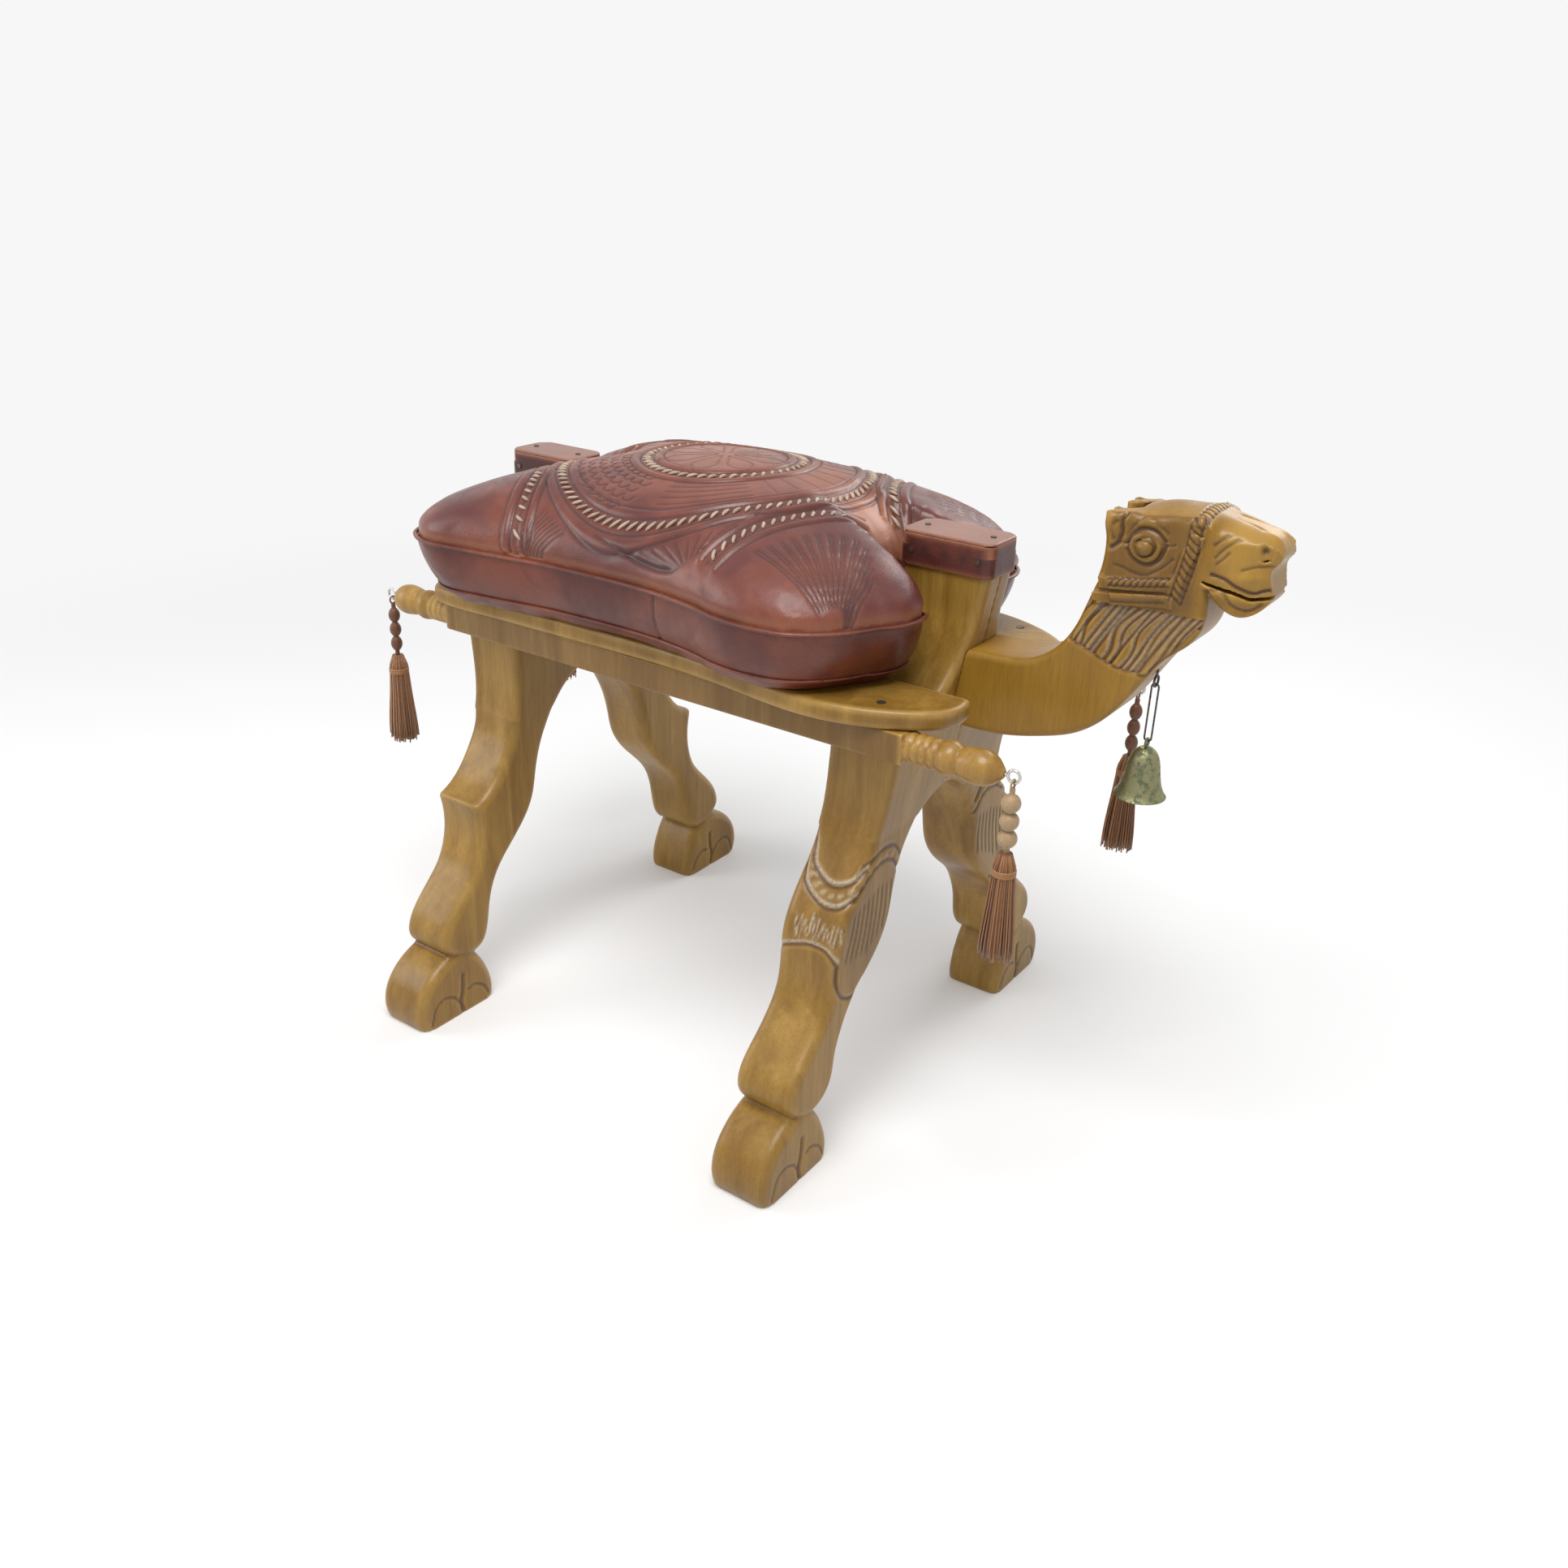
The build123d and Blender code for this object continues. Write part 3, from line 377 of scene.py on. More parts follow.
def even_mesh(name, grid, softening):
    """A closed, evenly meshed copy of a CAD node."""
    whole = bmesh.new()
    whole.from_mesh(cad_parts[name].data)
    bmesh.ops.remove_doubles(whole, verts=whole.verts, dist=1e-6)
    mesh = bpy.data.meshes.new(name)
    whole.to_mesh(mesh)
    whole.free()
    rough = bpy.data.objects.new(name + "_rough", mesh)
    bpy.context.collection.objects.link(rough)
    remesh = rough.modifiers.new("Remesh", "REMESH")
    remesh.mode = "VOXEL"
    remesh.voxel_size = grid * coarser * MM
    if softening:
        smooth = rough.modifiers.new("Smooth", "SMOOTH")
        smooth.factor = 0.5
        smooth.iterations = softening
    fine = applied(rough)
    bpy.data.objects.remove(rough)
    return fine


def tube(path, radii, around):
    """A closed tube along a path, as points and faces."""
    path = np.asarray(path, float)
    radii = np.broadcast_to(radii, len(path))
    steps = np.gradient(path, axis=0)
    points = []
    before = np.array((1.0, 0, 0))
    for place, step, radius in zip(path, steps, radii):
        step = step / (np.linalg.norm(step) + 1e-12)
        side = before - step * (before @ step)
        side /= np.linalg.norm(side) + 1e-12
        before = side
        across = np.cross(step, side)
        for k in range(around):
            angle = 2 * math.pi * k / around
            points.append(place + radius * (math.cos(angle) * side + math.sin(angle) * across))
    faces = []
    for ring in range(len(path) - 1):
        for k in range(around):
            a, b = ring * around + k, ring * around + (k + 1) % around
            faces.append((a, b, b + around, a + around))
    faces.append(tuple(range(around))[::-1])
    faces.append(tuple(range((len(path) - 1) * around, len(path) * around)))
    return points, faces


def joined(parts):
    """Several meshes as one, with each part's own number kept for its vertices."""
    points, faces, shades = [], [], []
    for part_points, part_faces, shade in parts:
        start = len(points)
        points.extend(part_points)
        faces.extend(tuple(start + i for i in face) for face in part_faces)
        shades.extend([shade] * len(part_points))
    return points, faces, shades


class Carving:
    """An evenly meshed piece whose surface is raised or cut near lines that are drawn on it."""

    def __init__(self, mesh):
        self.mesh = mesh
        self.read()
        count = len(self.points)
        self.lift = np.zeros(count)
        self.marks = {name: np.zeros(count) for name in ("ink", "dust", "wear", "hollow", "ridge")}

    def read(self):
        """Takes the points, in the seat's millimetres, and the normals from the mesh."""
        count = len(self.mesh.vertices)
        flat = np.empty(3 * count, np.float32)
        self.mesh.vertices.foreach_get("co", flat)
        self.points = flat.reshape(-1, 3).astype(float) / MM - SEAT
        self.mesh.vertex_normals.foreach_get("vector", flat)
        self.normals = flat.reshape(-1, 3).astype(float)

    def near(self, line, reach, axes, where):
        """The vertices round a line, seen along the axis that is left out, of those that where allows."""
        seen = self.points[:, axes]
        low, high = line.min(0) - reach, line.max(0) + reach
        return np.nonzero(((seen > low) & (seen < high)).all(1) & where)[0]

    def mark(self, name, chosen, values):
        """Raises a number of the chosen vertices to these values where it is lower."""
        self.marks[name][chosen] = np.maximum(self.marks[name][chosen], values)

    def line(self, points, width, depth, axes, where, ink=0.0, dust=0.0, taper=0.0):
        """A groove, or a ridge where depth is negative."""
        line = np.asarray(points, float)
        axes = list(axes)
        reach = 2.5 * width
        chosen = self.near(line, reach, axes, where)
        if not len(chosen):
            return
        distance, along, side = away(self.points[chosen][:, axes], line)
        strength = np.ones(len(chosen))
        if taper:
            total = np.linalg.norm(np.diff(line, axis=0), axis=1).sum()
            strength = smooth_step(np.minimum(along, total - along), -0.1, taper)
        self.lift[chosen] -= depth * strength * bell_curve(distance, width)
        if ink:
            self.mark("ink", chosen, ink * strength * bell_curve(distance, width * 0.85))
        if dust:
            rim = bell_curve(distance - width * 0.62, width * 0.8) * (side > 0)
            self.mark("dust", chosen, dust * strength * rim)

    def dome(self, place, reach, height, axes, where, turn=0.0, **marks):
        """A soft bump round a place, or a hollow where the height is negative, with marks over it."""
        axes = list(axes)
        line = np.array([place], float)
        chosen = self.near(line, 1.6 * max(reach), axes, where)
        if not len(chosen):
            return
        gap = self.points[chosen][:, axes] - place
        cos, sin = math.cos(math.radians(turn)), math.sin(math.radians(turn))
        along = (gap[:, 0] * cos + gap[:, 1] * sin) / reach[0]
        over = (gap[:, 1] * cos - gap[:, 0] * sin) / reach[1]
        share = np.exp(-2.2 * (along**2 + over**2))
        self.lift[chosen] += height * share
        for name, value in marks.items():
            self.mark(name, chosen, value * share)

    def apply(self, hollows=0.0, ridges=0.0, spread=3):
        """Moves the vertices, then marks hollows and ridges by how the surface turns."""
        self.points = self.points + self.normals * self.lift[:, None]
        self.mesh.vertices.foreach_set("co", rows(self.points).astype(np.float32).ravel())
        self.mesh.update()
        self.read()
        if hollows or ridges:
            turn = self.turn(spread)
            # Hollows marked here darken the wood: stain build-up and painted shade.
            self.mark("hollow", slice(None), hollows * smooth_step(turn, 0.06, 0.35))
            self.mark("ridge", slice(None), ridges * smooth_step(-turn, 0.08, 0.4))
        for name, values in self.marks.items():
            store(self.mesh, name, np.clip(values, 0, 1))

    def turn(self, spread):
        """How hollow the surface is at each vertex, in millimetres, averaged over a few neighbours."""
        count = len(self.points)
        ends = np.empty(2 * len(self.mesh.edges), np.int32)
        self.mesh.edges.foreach_get("vertices", ends)
        a, b = ends[::2], ends[1::2]
        degree = np.bincount(a, minlength=count) + np.bincount(b, minlength=count)
        degree = np.maximum(degree, 1)

        def around(values):
            total = np.bincount(a, values[b], count) + np.bincount(b, values[a], count)
            return total / degree

        middle = self.points
        for _ in range(spread):
            middle = np.stack([around(middle[:, k]) for k in range(3)], 1)
        return ((middle - self.points) * self.normals).sum(1)


# Camera, floor and light


def camera():
    """The camera at the photograph's place, turned a little about its own line of sight."""
    turn, pitch, roll = (math.radians(v) for v in (34.589, 24.963, 1.927))
    sensor, lens = 36, 32.65
    data = bpy.data.cameras.new("camera")
    data.sensor_width, data.lens = sensor, lens
    data.clip_start, data.clip_end = 0.05, 60
    made = bpy.data.objects.new("camera", data)
    bpy.context.collection.objects.link(made)
    ahead = Vector((-math.sin(turn) * math.cos(pitch), math.cos(turn) * math.cos(pitch), -math.sin(pitch)))
    level = Vector((math.cos(turn), math.sin(turn), 0))
    over = level.cross(ahead)
    right = math.cos(roll) * level + math.sin(roll) * over
    up = -math.sin(roll) * level + math.cos(roll) * over
    stand = Matrix((right, up, -ahead)).transposed().to_4x4()
    stand.translation = seat(682.4, -918.1, 749.1)
    made.matrix_world = stand
    bpy.context.scene.camera = made


def shown_ray(tree):
    """1 for the rays that show the background: straight ones, and those by way of metal or glass."""
    rays = tree.nodes.new("ShaderNodeLightPath")
    seen = rays.outputs["Is Camera Ray"]
    for name in ("Is Glossy Ray", "Is Transmission Ray"):
        either = tree.nodes.new("ShaderNodeMath")
        either.operation = "MAXIMUM"
        tree.links.new(seen, either.inputs[0])
        tree.links.new(rays.outputs[name], either.inputs[1])
        seen = either.outputs[0]
    return seen


def floor():
    """A pale floor that takes the shadow near the object and fades to the background's white."""
    paint = Paint("floor_paper")
    paint.finish((0.88, 0.88, 0.88), 0.9)
    glow = paint.node("ShaderNodeEmission", {"Color": (1, 1, 1, 1), "Strength": paper_white})
    distance = paint.node("ShaderNodeVectorMath", {"Vector": paint.place}, operation="LENGTH")
    far = paint.ease(distance.outputs["Value"], 0.75, 1.9, 0.12)
    seen = shown_ray(paint.tree)
    mixed = paint.node("ShaderNodeMixShader", {"Fac": paint.maths("MULTIPLY", far, seen)})
    out = paint.tree.nodes["Material Output"]
    paint.tree.links.new(paint.shader.outputs[0], mixed.inputs[1])
    paint.tree.links.new(glow.outputs[0], mixed.inputs[2])
    paint.tree.links.new(mixed.outputs[0], out.inputs["Surface"])
    mesh = bpy.data.meshes.new("floor")
    reach = 30
    corners = [(x * reach, y * reach, 0) for x, y in ((-1, -1), (1, -1), (1, 1), (-1, 1))]
    mesh.from_pydata(corners, [], [(0, 1, 2, 3)])
    mesh.materials.append(paint.material)
    made = bpy.data.objects.new("floor", mesh)
    bpy.context.collection.objects.link(made)
    made.location.z = -0.0003


def lamp(name, place, target, size, power):
    """A round area lamp that faces its target."""
    data = bpy.data.lights.new(name, "AREA")
    data.shape, data.size, data.energy = "DISK", size, power
    made = bpy.data.objects.new(name, data)
    bpy.context.collection.objects.link(made)
    made.location = place
    made.rotation_euler = (Vector(target) - Vector(place)).to_track_quat("-Z", "Y").to_euler()


def light():
    """A soft white sky, one large lamp above and two weak ones at the sides."""
    world = bpy.data.worlds.new("sky")
    bpy.context.scene.world = world
    bpy.context.scene.view_settings.view_transform = "Standard"
    world.use_nodes = True
    tree = world.node_tree
    sky = tree.nodes["Background"]
    sky.inputs["Color"].default_value = (1, 1, 1, 1)
    sky.inputs["Strength"].default_value = 0.5
    shown = tree.nodes.new("ShaderNodeBackground")
    shown.inputs["Color"].default_value = (paper_white, paper_white, paper_white, 1)
    either = tree.nodes.new("ShaderNodeMixShader")
    out = tree.nodes["World Output"]
    tree.links.new(shown_ray(tree), either.inputs["Fac"])
    tree.links.new(sky.outputs[0], either.inputs[1])
    tree.links.new(shown.outputs[0], either.inputs[2])
    tree.links.new(either.outputs[0], out.inputs["Surface"])
    lamp("key", (0.3, -0.8, 2.1), (0, 0, 0.3), 1.2, 33)
    lamp("fill", (-1.7, -1.2, 1.1), (0, 0, 0.3), 1.2, 12)
    lamp("back", (0.3, 1.8, 1.5), (0, 0, 0.35), 1.2, 14)


camera()
floor()
light()

# Legs


def mirrored(points, way, axis=1):
    """The same line on the side of the object that way says."""
    line = np.array(points, float)
    line[:, axis] *= way
    return line


def leg(name, way, carved):
    """One side's half of a leg frame, with carved toes and, in front, a carved knee."""
    work = Carving(even_mesh(name, 1.5 if carved else 1.9, 3))
    if carved:
        knee(work, way)
    toes(work, way)
    work.apply(0.55, 0.25, 4)
    made = add(name + "_wood", work.mesh, "frame", leg_paint[way])
    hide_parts(name)


# Lines on the front face lie in Y and Z, those on the outer face in X and Z, and run on round the edge.
knee_top = [(150, 258), (157, 240), (164, 234), (176, 229), (186, 229), (196, 234), (203, 243)]
knee_top_front = [(-114, 239), (-104, 246), (-92, 251), (-80, 252), (-69, 248), (-61, 238)]
knee_second = [(150, 238), (158, 225), (170, 218), (180, 215), (191, 216), (199, 221), (204, 226)]
knee_second_front = [(-122, 222), (-110, 232), (-98, 239), (-84, 241), (-72, 237), (-63, 226)]
knee_low = [(150, 175), (158, 180), (176, 186), (190, 186), (198, 181), (204, 171)]
knee_low_front = [(-143, 172), (-143, 158), (-139, 148), (-131, 141), (-120, 138), (-106, 146)]


def knee(work, way):
    """Three carved bands round the knee, pearls between two of them, leaf strokes and a fluted front."""
    outer = work.normals[:, 1] * way > 0.35
    front = work.normals[:, 0] > 0.35
    for line in (knee_top, knee_second, knee_low):
        work.line(spline(line), 3.4, 1.3, (0, 2), outer, ink=0.75, dust=0.85)
    for line in (knee_top_front, knee_second_front, knee_low_front):
        work.line(spline(mirrored(line, -way, 0)), 3.4, 1.3, (1, 2), front, ink=0.95)
    for x, z in ((161, 231), (168, 226), (176, 223), (184, 222), (191, 224), (198, 228)):
        work.dome((x, z), (3.6, 3.4), 1.0, (0, 2), outer, dust=0.4)
    for y, z in ((-112, 232), (-104, 239), (-95, 243), (-85, 245), (-75, 243), (-67, 238)):
        work.dome((-way * y, z), (4.2, 3.4), 1.0, (1, 2), front)
    draw = np.random.default_rng(5)
    for x in np.arange(163, 204, 3.3):
        lean = draw.uniform(-2.5, 2.5)
        low = 188 + draw.uniform(-1, 4)
        high = 209 + draw.uniform(-4, 3)
        work.line([(x + lean, low), (x, (low + high) / 2), (x - lean, high)], 1.7, 0.5, (0, 2), outer,
                  ink=0.5, dust=0.8, taper=4)
    work.dome((-way * 106, 196), (20, 44), 0.0, (1, 2), front, way * 18, ink=0.5)
    for k in range(9):
        top = np.array((-122 + 6.2 * k, 214 + 2.0 * min(k, 5)))
        foot = top + (-13 + 1.2 * k, -44 - 3 * (4 - abs(k - 4)))
        line = np.stack((top, (top + foot) / 2 + (2, 0), foot))
        work.line(spline(mirrored(line, -way, 0), 4), 2.4, 0.8, (1, 2), front, ink=0.9, taper=7)


def toes(work, way):
    """Two toes on the forward face of the foot, each with its nail."""
    front = work.normals[:, 0] > 0.3
    split = [(-181, 44), (-182, 26), (-185, 12), (-182, -2)]
    near = [(-221, 2), (-215, 19), (-205, 25), (-193, 21), (-186, 11)]
    far = [(-178, 21), (-168, 23), (-157, 16), (-151, 4)]
    work.line(spline(mirrored(split, -way, 0)), 4.2, 1.8, (1, 2), front, ink=0.65, taper=6)
    for line in (near, far):
        work.line(spline(mirrored(line, -way, 0)), 2.6, 1.0, (1, 2), front, ink=0.6, taper=3)


for way, side in ((-1, "right"), (1, "left")):
    leg("front_leg_" + side, way, True)
    leg("rear_leg_" + side, way, False)

# Rails and boards


def plain_wood(name, grid, softening, paint, shaded=0.0):
    """A plain piece; its square sides may be darkened with painted shade."""
    work = Carving(even_mesh(name, grid, softening))
    # The square part's sides and underside are darkened: painted shade.
    painted_shade_sides = smooth_step(-abs(work.points[:, 0]), -square_to, -square_from) * (work.normals[:, 2] < 0.6)
    work.mark("ink", slice(None), shaded * painted_shade_sides)
    work.apply(0.6, 0.35, 3)
    made = add(name + "_wood", work.mesh, "frame", paint)
    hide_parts(name)


for side in ("left", "right"):
    plain_wood("side_rail_" + side, 1.15, 1, rail_paint, 0.5)
    plain_wood("side_board_" + side, 1.9, 3, board_paint)

# Neck and head

# Bumps and hollows of each cheek, in X and Z: place, reach, height, turn in degrees and ink.
cheek_domes = [
    ((352, 502), (15, 13), 2.6, 8, 0),
    ((352, 502), (6.5, 5.5), 1.8, 10, 0.4),
    ((352, 518), (14, 4.5), 2.0, 5, 0),
    ((385, 487), (22, 15), -1.2, 0, 0),
    ((420, 492), (16, 5), 1.2, 8, 0),
    ((412, 478), (18, 5), 1.0, -8, 0),
    ((428, 511.5), (9, 10), 2.2, 0, 0),
    ((428, 511.5), (3.4, 4.4), -3.4, 15, 0.8),
    ((404, 500), (12, 10), 1.0, 0, 0),
    ((325, 512), (7, 12), 2.2, 20, 0),
    ((320, 524), (9, 6), 2.4, 0, 0),
]
# Lines carved there: points, width, depth and ink.
cheek_lines = [
    ([(338, 500), (342, 509), (350, 514), (359, 512), (366, 506)], 3.0, 1.7, 0.95),
    ([(338, 500), (344, 493), (353, 490), (361, 494), (366, 506)], 3.0, 1.7, 0.95),
    ([(345, 502), (348, 507), (354, 508), (359, 504), (357, 498), (350, 496), (345, 502)], 2.0, 1.1, 0.9),
    ([(362, 506), (368, 505), (373, 507)], 2.0, 0.8, 0.5),
    ([(331, 500), (336, 502), (341, 501)], 2.0, 0.8, 0.5),
    ([(330, 486), (338, 485), (345, 483), (354, 483), (361, 487), (367, 492), (372, 498)], 2.6, 0.9, 0.5),
    ([(337, 506), (343, 516), (351, 521), (360, 517), (367, 512)], 2.4, 0.8, 0.45),
    ([(396, 510), (403, 517), (409, 522), (415, 523)], 2.4, 0.9, 0.5),
    ([(398, 502), (404, 510), (412, 517), (419, 521)], 2.4, 0.9, 0.5),
    ([(399, 498), (404, 503), (408, 509)], 2.2, 0.8, 0.5),
    ([(415, 497), (426, 501), (436, 502)], 2.2, 0.8, 0.4),
    ([(396, 492), (407, 490), (415, 486), (425, 483), (431, 485), (438, 487)], 2.8, 1.7, 0.95),
    ([(397, 482), (407, 481), (413, 474), (423, 471), (432, 477)], 2.6, 0.9, 0.4),
    ([(425, 515), (427, 520), (432, 518), (434, 508), (429, 503), (424, 505)], 2.2, -0.8, 0.0),
    ([(331, 464), (352, 467), (370, 470)], 5.5, -1.2, 0.0),
    ([(331, 460.5), (352, 463.5), (370, 466.5)], 1.6, 0.6, 0.6),
    ([(331, 467.5), (352, 470.5), (370, 473.5)], 1.6, 0.6, 0.6),
    ([(336, 524), (333, 516), (334, 508), (331, 500), (326, 496)], 3.2, 2.0, 0.95),
    ([(331, 517), (327, 512), (327, 506), (330, 502)], 3.4, 1.2, 0.3),
]
braid = [(387, 540), (386, 528), (384, 518), (384, 508), (382, 494), (379, 480), (376, 468)]
# The mane's lower edge.
mane_x = (292, 306, 321, 340, 355, 366, 392)
mane_z = (436, 428, 422, 415, 413, 415, 452)


def twisted(work, line, where, axes, width, pitch, height):
    """A raised rope with slanting cuts across it."""
    line = evenly(spline(line, 10), 1.5)
    work.line(line, width * 1.7, -height, axes, where)
    for side in (-1, 1):
        step = np.gradient(line, axis=0)
        step /= np.linalg.norm(step, axis=1)[:, None]
        edge = line + side * width / 2 * np.stack((-step[:, 1], step[:, 0]), 1)
        work.line(edge, 1.8, 0.8, axes, where, ink=0.9)
    marks = evenly(line, pitch)
    for a, b in zip(marks[:-1], marks[1:]):
        run = (b - a) / np.linalg.norm(b - a)
        over = np.array((-run[1], run[0]))
        middle = (a + b) / 2
        reach = over * width * 0.46 + run * pitch * 0.45
        work.line([middle - reach, middle, middle + reach], 1.6, 1.0, axes, where, ink=0.95)


def head():
    """The neck and head with their carved face, bridle and mane."""
    work = Carving(even_mesh("neck_and_head", 0.9, 2))
    x, z = work.points[:, 0], work.points[:, 2]
    # Slimmer at the jaw, slimmer again at the nose, and rounded over the top.
    slim = 0.14 * smooth_step(x, 335, 370) * smooth_step(-z, -485, -462)
    work.points[:, 1] *= 1 - slim
    nose = 0.16 * smooth_step(x, 408, 440)
    work.points[:, 1] *= 1 - nose
    drop = 0.006 + 0.008 * smooth_step(x, 390, 400)
    work.points[:, 2] -= drop * work.points[:, 1] ** 2 * smooth_step(z, 500, 514) * smooth_step(x, 338, 350)
    work.mark("ridge", slice(None), smooth_step(x, 392, 410) * smooth_step(z, 470, 500) * 0.4)
    for way in (-1, 1):
        cheek = work.normals[:, 1] * way > 0.25
        # The sides of the head behind the muzzle are darkened: painted shade.
        painted_shade_zone = smooth_step(x, 322, 330) * smooth_step(-x, -392, -384) * smooth_step(z, 410, 470) * cheek
        work.mark("ink", slice(None), 0.42 * painted_shade_zone)
        for place, reach, height, turn, ink in cheek_domes:
            work.dome(place, reach, height, (0, 2), cheek, turn, ink=ink)
        for points, width, depth, ink in cheek_lines:
            work.line(spline(points, 6), width, depth, (0, 2), cheek, ink=ink, taper=2)
        twisted(work, [(330, 474), (350, 477), (371, 481)], cheek, (0, 2), 5.0, 4.6, 1.3)
        twisted(work, braid, cheek, (0, 2), 8.0, 5.2, 1.6)
        low_edge = np.interp(work.points[:, 0], mane_x, mane_z)
        mane = cheek & (work.points[:, 2] < 459) & (work.points[:, 2] > low_edge)
        draw = np.random.default_rng(12)
        for k in range(17):
            left = 290 + 5.2 * k + draw.uniform(-1.2, 1.2)
            bend = draw.uniform(-2.5, 2.5)
            tuft = [(left - 4, 404), (left + 8 - bend, 424), (left + 14 + bend, 442), (left + 27, 460)]
            width = draw.uniform(2.2, 3.6)
            work.line(spline(tuft, 6), width, 1.3, (0, 2), mane, ink=draw.uniform(0.55, 0.95), dust=0.3)
        work.line(spline(np.stack((mane_x, mane_z), 1), 6), 2.6, 0.9, (0, 2), cheek, ink=0.6)
    over = work.normals[:, 2] > 0.35
    work.dome((358, 0), (26, 26), 3.0, (0, 1), over)
    work.dome((405, 0), (20, 10), -2.0, (0, 1), over)
    for y in (-9, 9):
        work.dome((431, y), (8, 6), 1.6, (0, 1), over)
        work.line([(398, y * 0.5), (414, y * 0.7), (424, y)], 2.6, 0.8, (0, 1), over, ink=0.3, taper=6)
    twisted(work, [(387, -26), (387, 0), (387, 26)], over, (0, 1), 8.0, 5.2, 1.6)
    work.apply(0.95, 0.35, 5)
    made = add("camel_head", work.mesh, "frame", head_paint)
    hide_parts("neck_and_head")


head()

# Leather caps


def cap(end):
    """A leather cap: greyish on top with dust and a painted highlight, rubbed along its top edge, worn
    through at the corners and stained by its nails.
    """
    for piece in ("top", "band"):
        node = f"{end}_cap_{piece}"
        work = Carving(even_mesh(node, 1.0, 2))
        height = work.points[:, 2]
        # Upward faces are paler: dust and a painted highlight.
        upward = smooth_step(work.normals[:, 2], 0.5, 0.95)
        work.mark("dust", slice(None), 0.26 * upward)
        work.mark("wear", slice(None), 0.6 * bell_curve(height - post_top, 5))
        low, high = work.points.min(0), work.points.max(0)
        for x in (low[0], high[0]):
            for y in (low[1], high[1]):
                gap = np.hypot(work.points[:, 0] - x, work.points[:, 1] - y)
                torn = bell_curve(gap, 11) * (height > post_top - 9)
                work.lift -= 1.1 * torn
                work.mark("wear", slice(None), torn)
        if piece == "band":
            for x in np.linspace(low[0] + tack_inset, high[0] - tack_inset, 5):
                gap = np.hypot(work.points[:, 0] - x, height - post_top + tack_drop)
                work.mark("ink", slice(None), 0.6 * bell_curve(gap, 7))
            foot = bell_curve(height - low[2], 5)
            work.mark("wear", slice(None), 0.5 * foot)
        work.apply(0.3, 0.3, 3)
        made = add(node + "_leather", work.mesh, "frame", cap_paint)
        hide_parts(node)


for end in ("front", "rear"):
    cap(end)

# Cushion


def blown_up(mesh):
    """The cushion filled out by a short cloth simulation; its two seams and its flat underside stay."""
    made = bpy.data.objects.new("stuffing", mesh)
    bpy.context.collection.objects.link(made)
    heights = np.array([v.co.z for v in mesh.vertices]) / MM - cushion_under
    group = made.vertex_groups.new(name="held")
    seams = np.minimum(abs(heights - band_low), abs(heights - band_high))
    for index, (height, seam) in enumerate(zip(heights, seams)):
        group.add([index], 1.0 if height < band_low or seam < seam_hold else 0.0, "REPLACE")
    cloth = made.modifiers.new("Cloth", "CLOTH")
    cloth.settings.use_pressure = True
    cloth.settings.uniform_pressure_force = cloth_pressure
    cloth.settings.effector_weights.gravity = 0
    cloth.settings.vertex_group_mass = "held"
    cloth.settings.quality = 5
    cloth.point_cache.frame_end = cloth_steps
    before = np.array([v.co for v in mesh.vertices])
    for step in range(1, cloth_steps + 1):
        bpy.context.scene.frame_set(step)
    result = applied(made)
    bpy.context.scene.frame_set(1)
    after = np.array([v.co for v in result.vertices])
    move = after - before
    reach = np.linalg.norm(move, axis=1)
    move *= np.minimum(1, cloth_reach * MM / np.maximum(reach, 1e-9))[:, None]
    mesh.vertices.foreach_set("co", (before + move).astype(np.float32).ravel())
    bpy.data.objects.remove(made)
    return mesh


def finer(mesh, levels):
    """The mesh subdivided smoothly."""
    made = bpy.data.objects.new("finer", mesh)
    bpy.context.collection.objects.link(made)
    smooth = made.modifiers.new("Subdivide", "SUBSURF")
    smooth.levels = levels
    result = applied(made)
    bpy.data.objects.remove(made)
    return result


# Tooled lines on the cushion's top, in X and Y, for the right side; the left side has them mirrored.
# A fan has its apex, the line where its rays end, their number and half the gap of double ones.
front_lace_ends = [(88, -120), (106, -84), (126, -58), (152, -52), (178, -78)]
oval_ends = [(-58, -128), (-20, -132), (20, -126), (58, -110), (78, -98)]
rear_ends = [(-98, -118), (-80, -122), (-62, -128)]
fans = [
    ((186, -140), front_lace_ends, 12, 1.3),
    ((57, -141), oval_ends, 13, 0.0),
    ((-112, -152), rear_ends, 7, 0.0),
]
front_lace = [(72, -137), (84, -106), (97, -76), (114, -44), (133, -20)]
rear_lace = [(-113, -146), (-133, -108), (-152, -76), (-172, -50)]
# The laced ovals: middle and reach in X and Y.
oval = (-28, 2, 128, 124)
circle = (-22, 5, 64, 64)
# Arcs and rows of scales between the two ovals, by their common middle, radii and angles in degrees.
arcs_x, arcs_y = -25, 4
arc_radii, arc_start, arc_turn = range(72, 119, 7), -80, 40
scale_radii, scale_angles, scale_step, scale_reach = range(76, 118, 9), (-148, -92), 7.0, 5.2
# Rubbed places: middle, radius and how much.
rubbed = [
    (123, 3, 34, 0.9),
    (60, 10, 60, 0.45),
    (-20, 0, 90, 0.3),
    (-150, -30, 40, 0.4),
    (-150, 40, 40, 0.4),
]


def beside(line, gap):
    """A line parallel to another in plan."""
    line = np.asarray(line, float)
    step = np.gradient(line, axis=0)
    step /= np.linalg.norm(step, axis=1)[:, None]
    return line + gap * np.stack((-step[:, 1], step[:, 0]), 1)


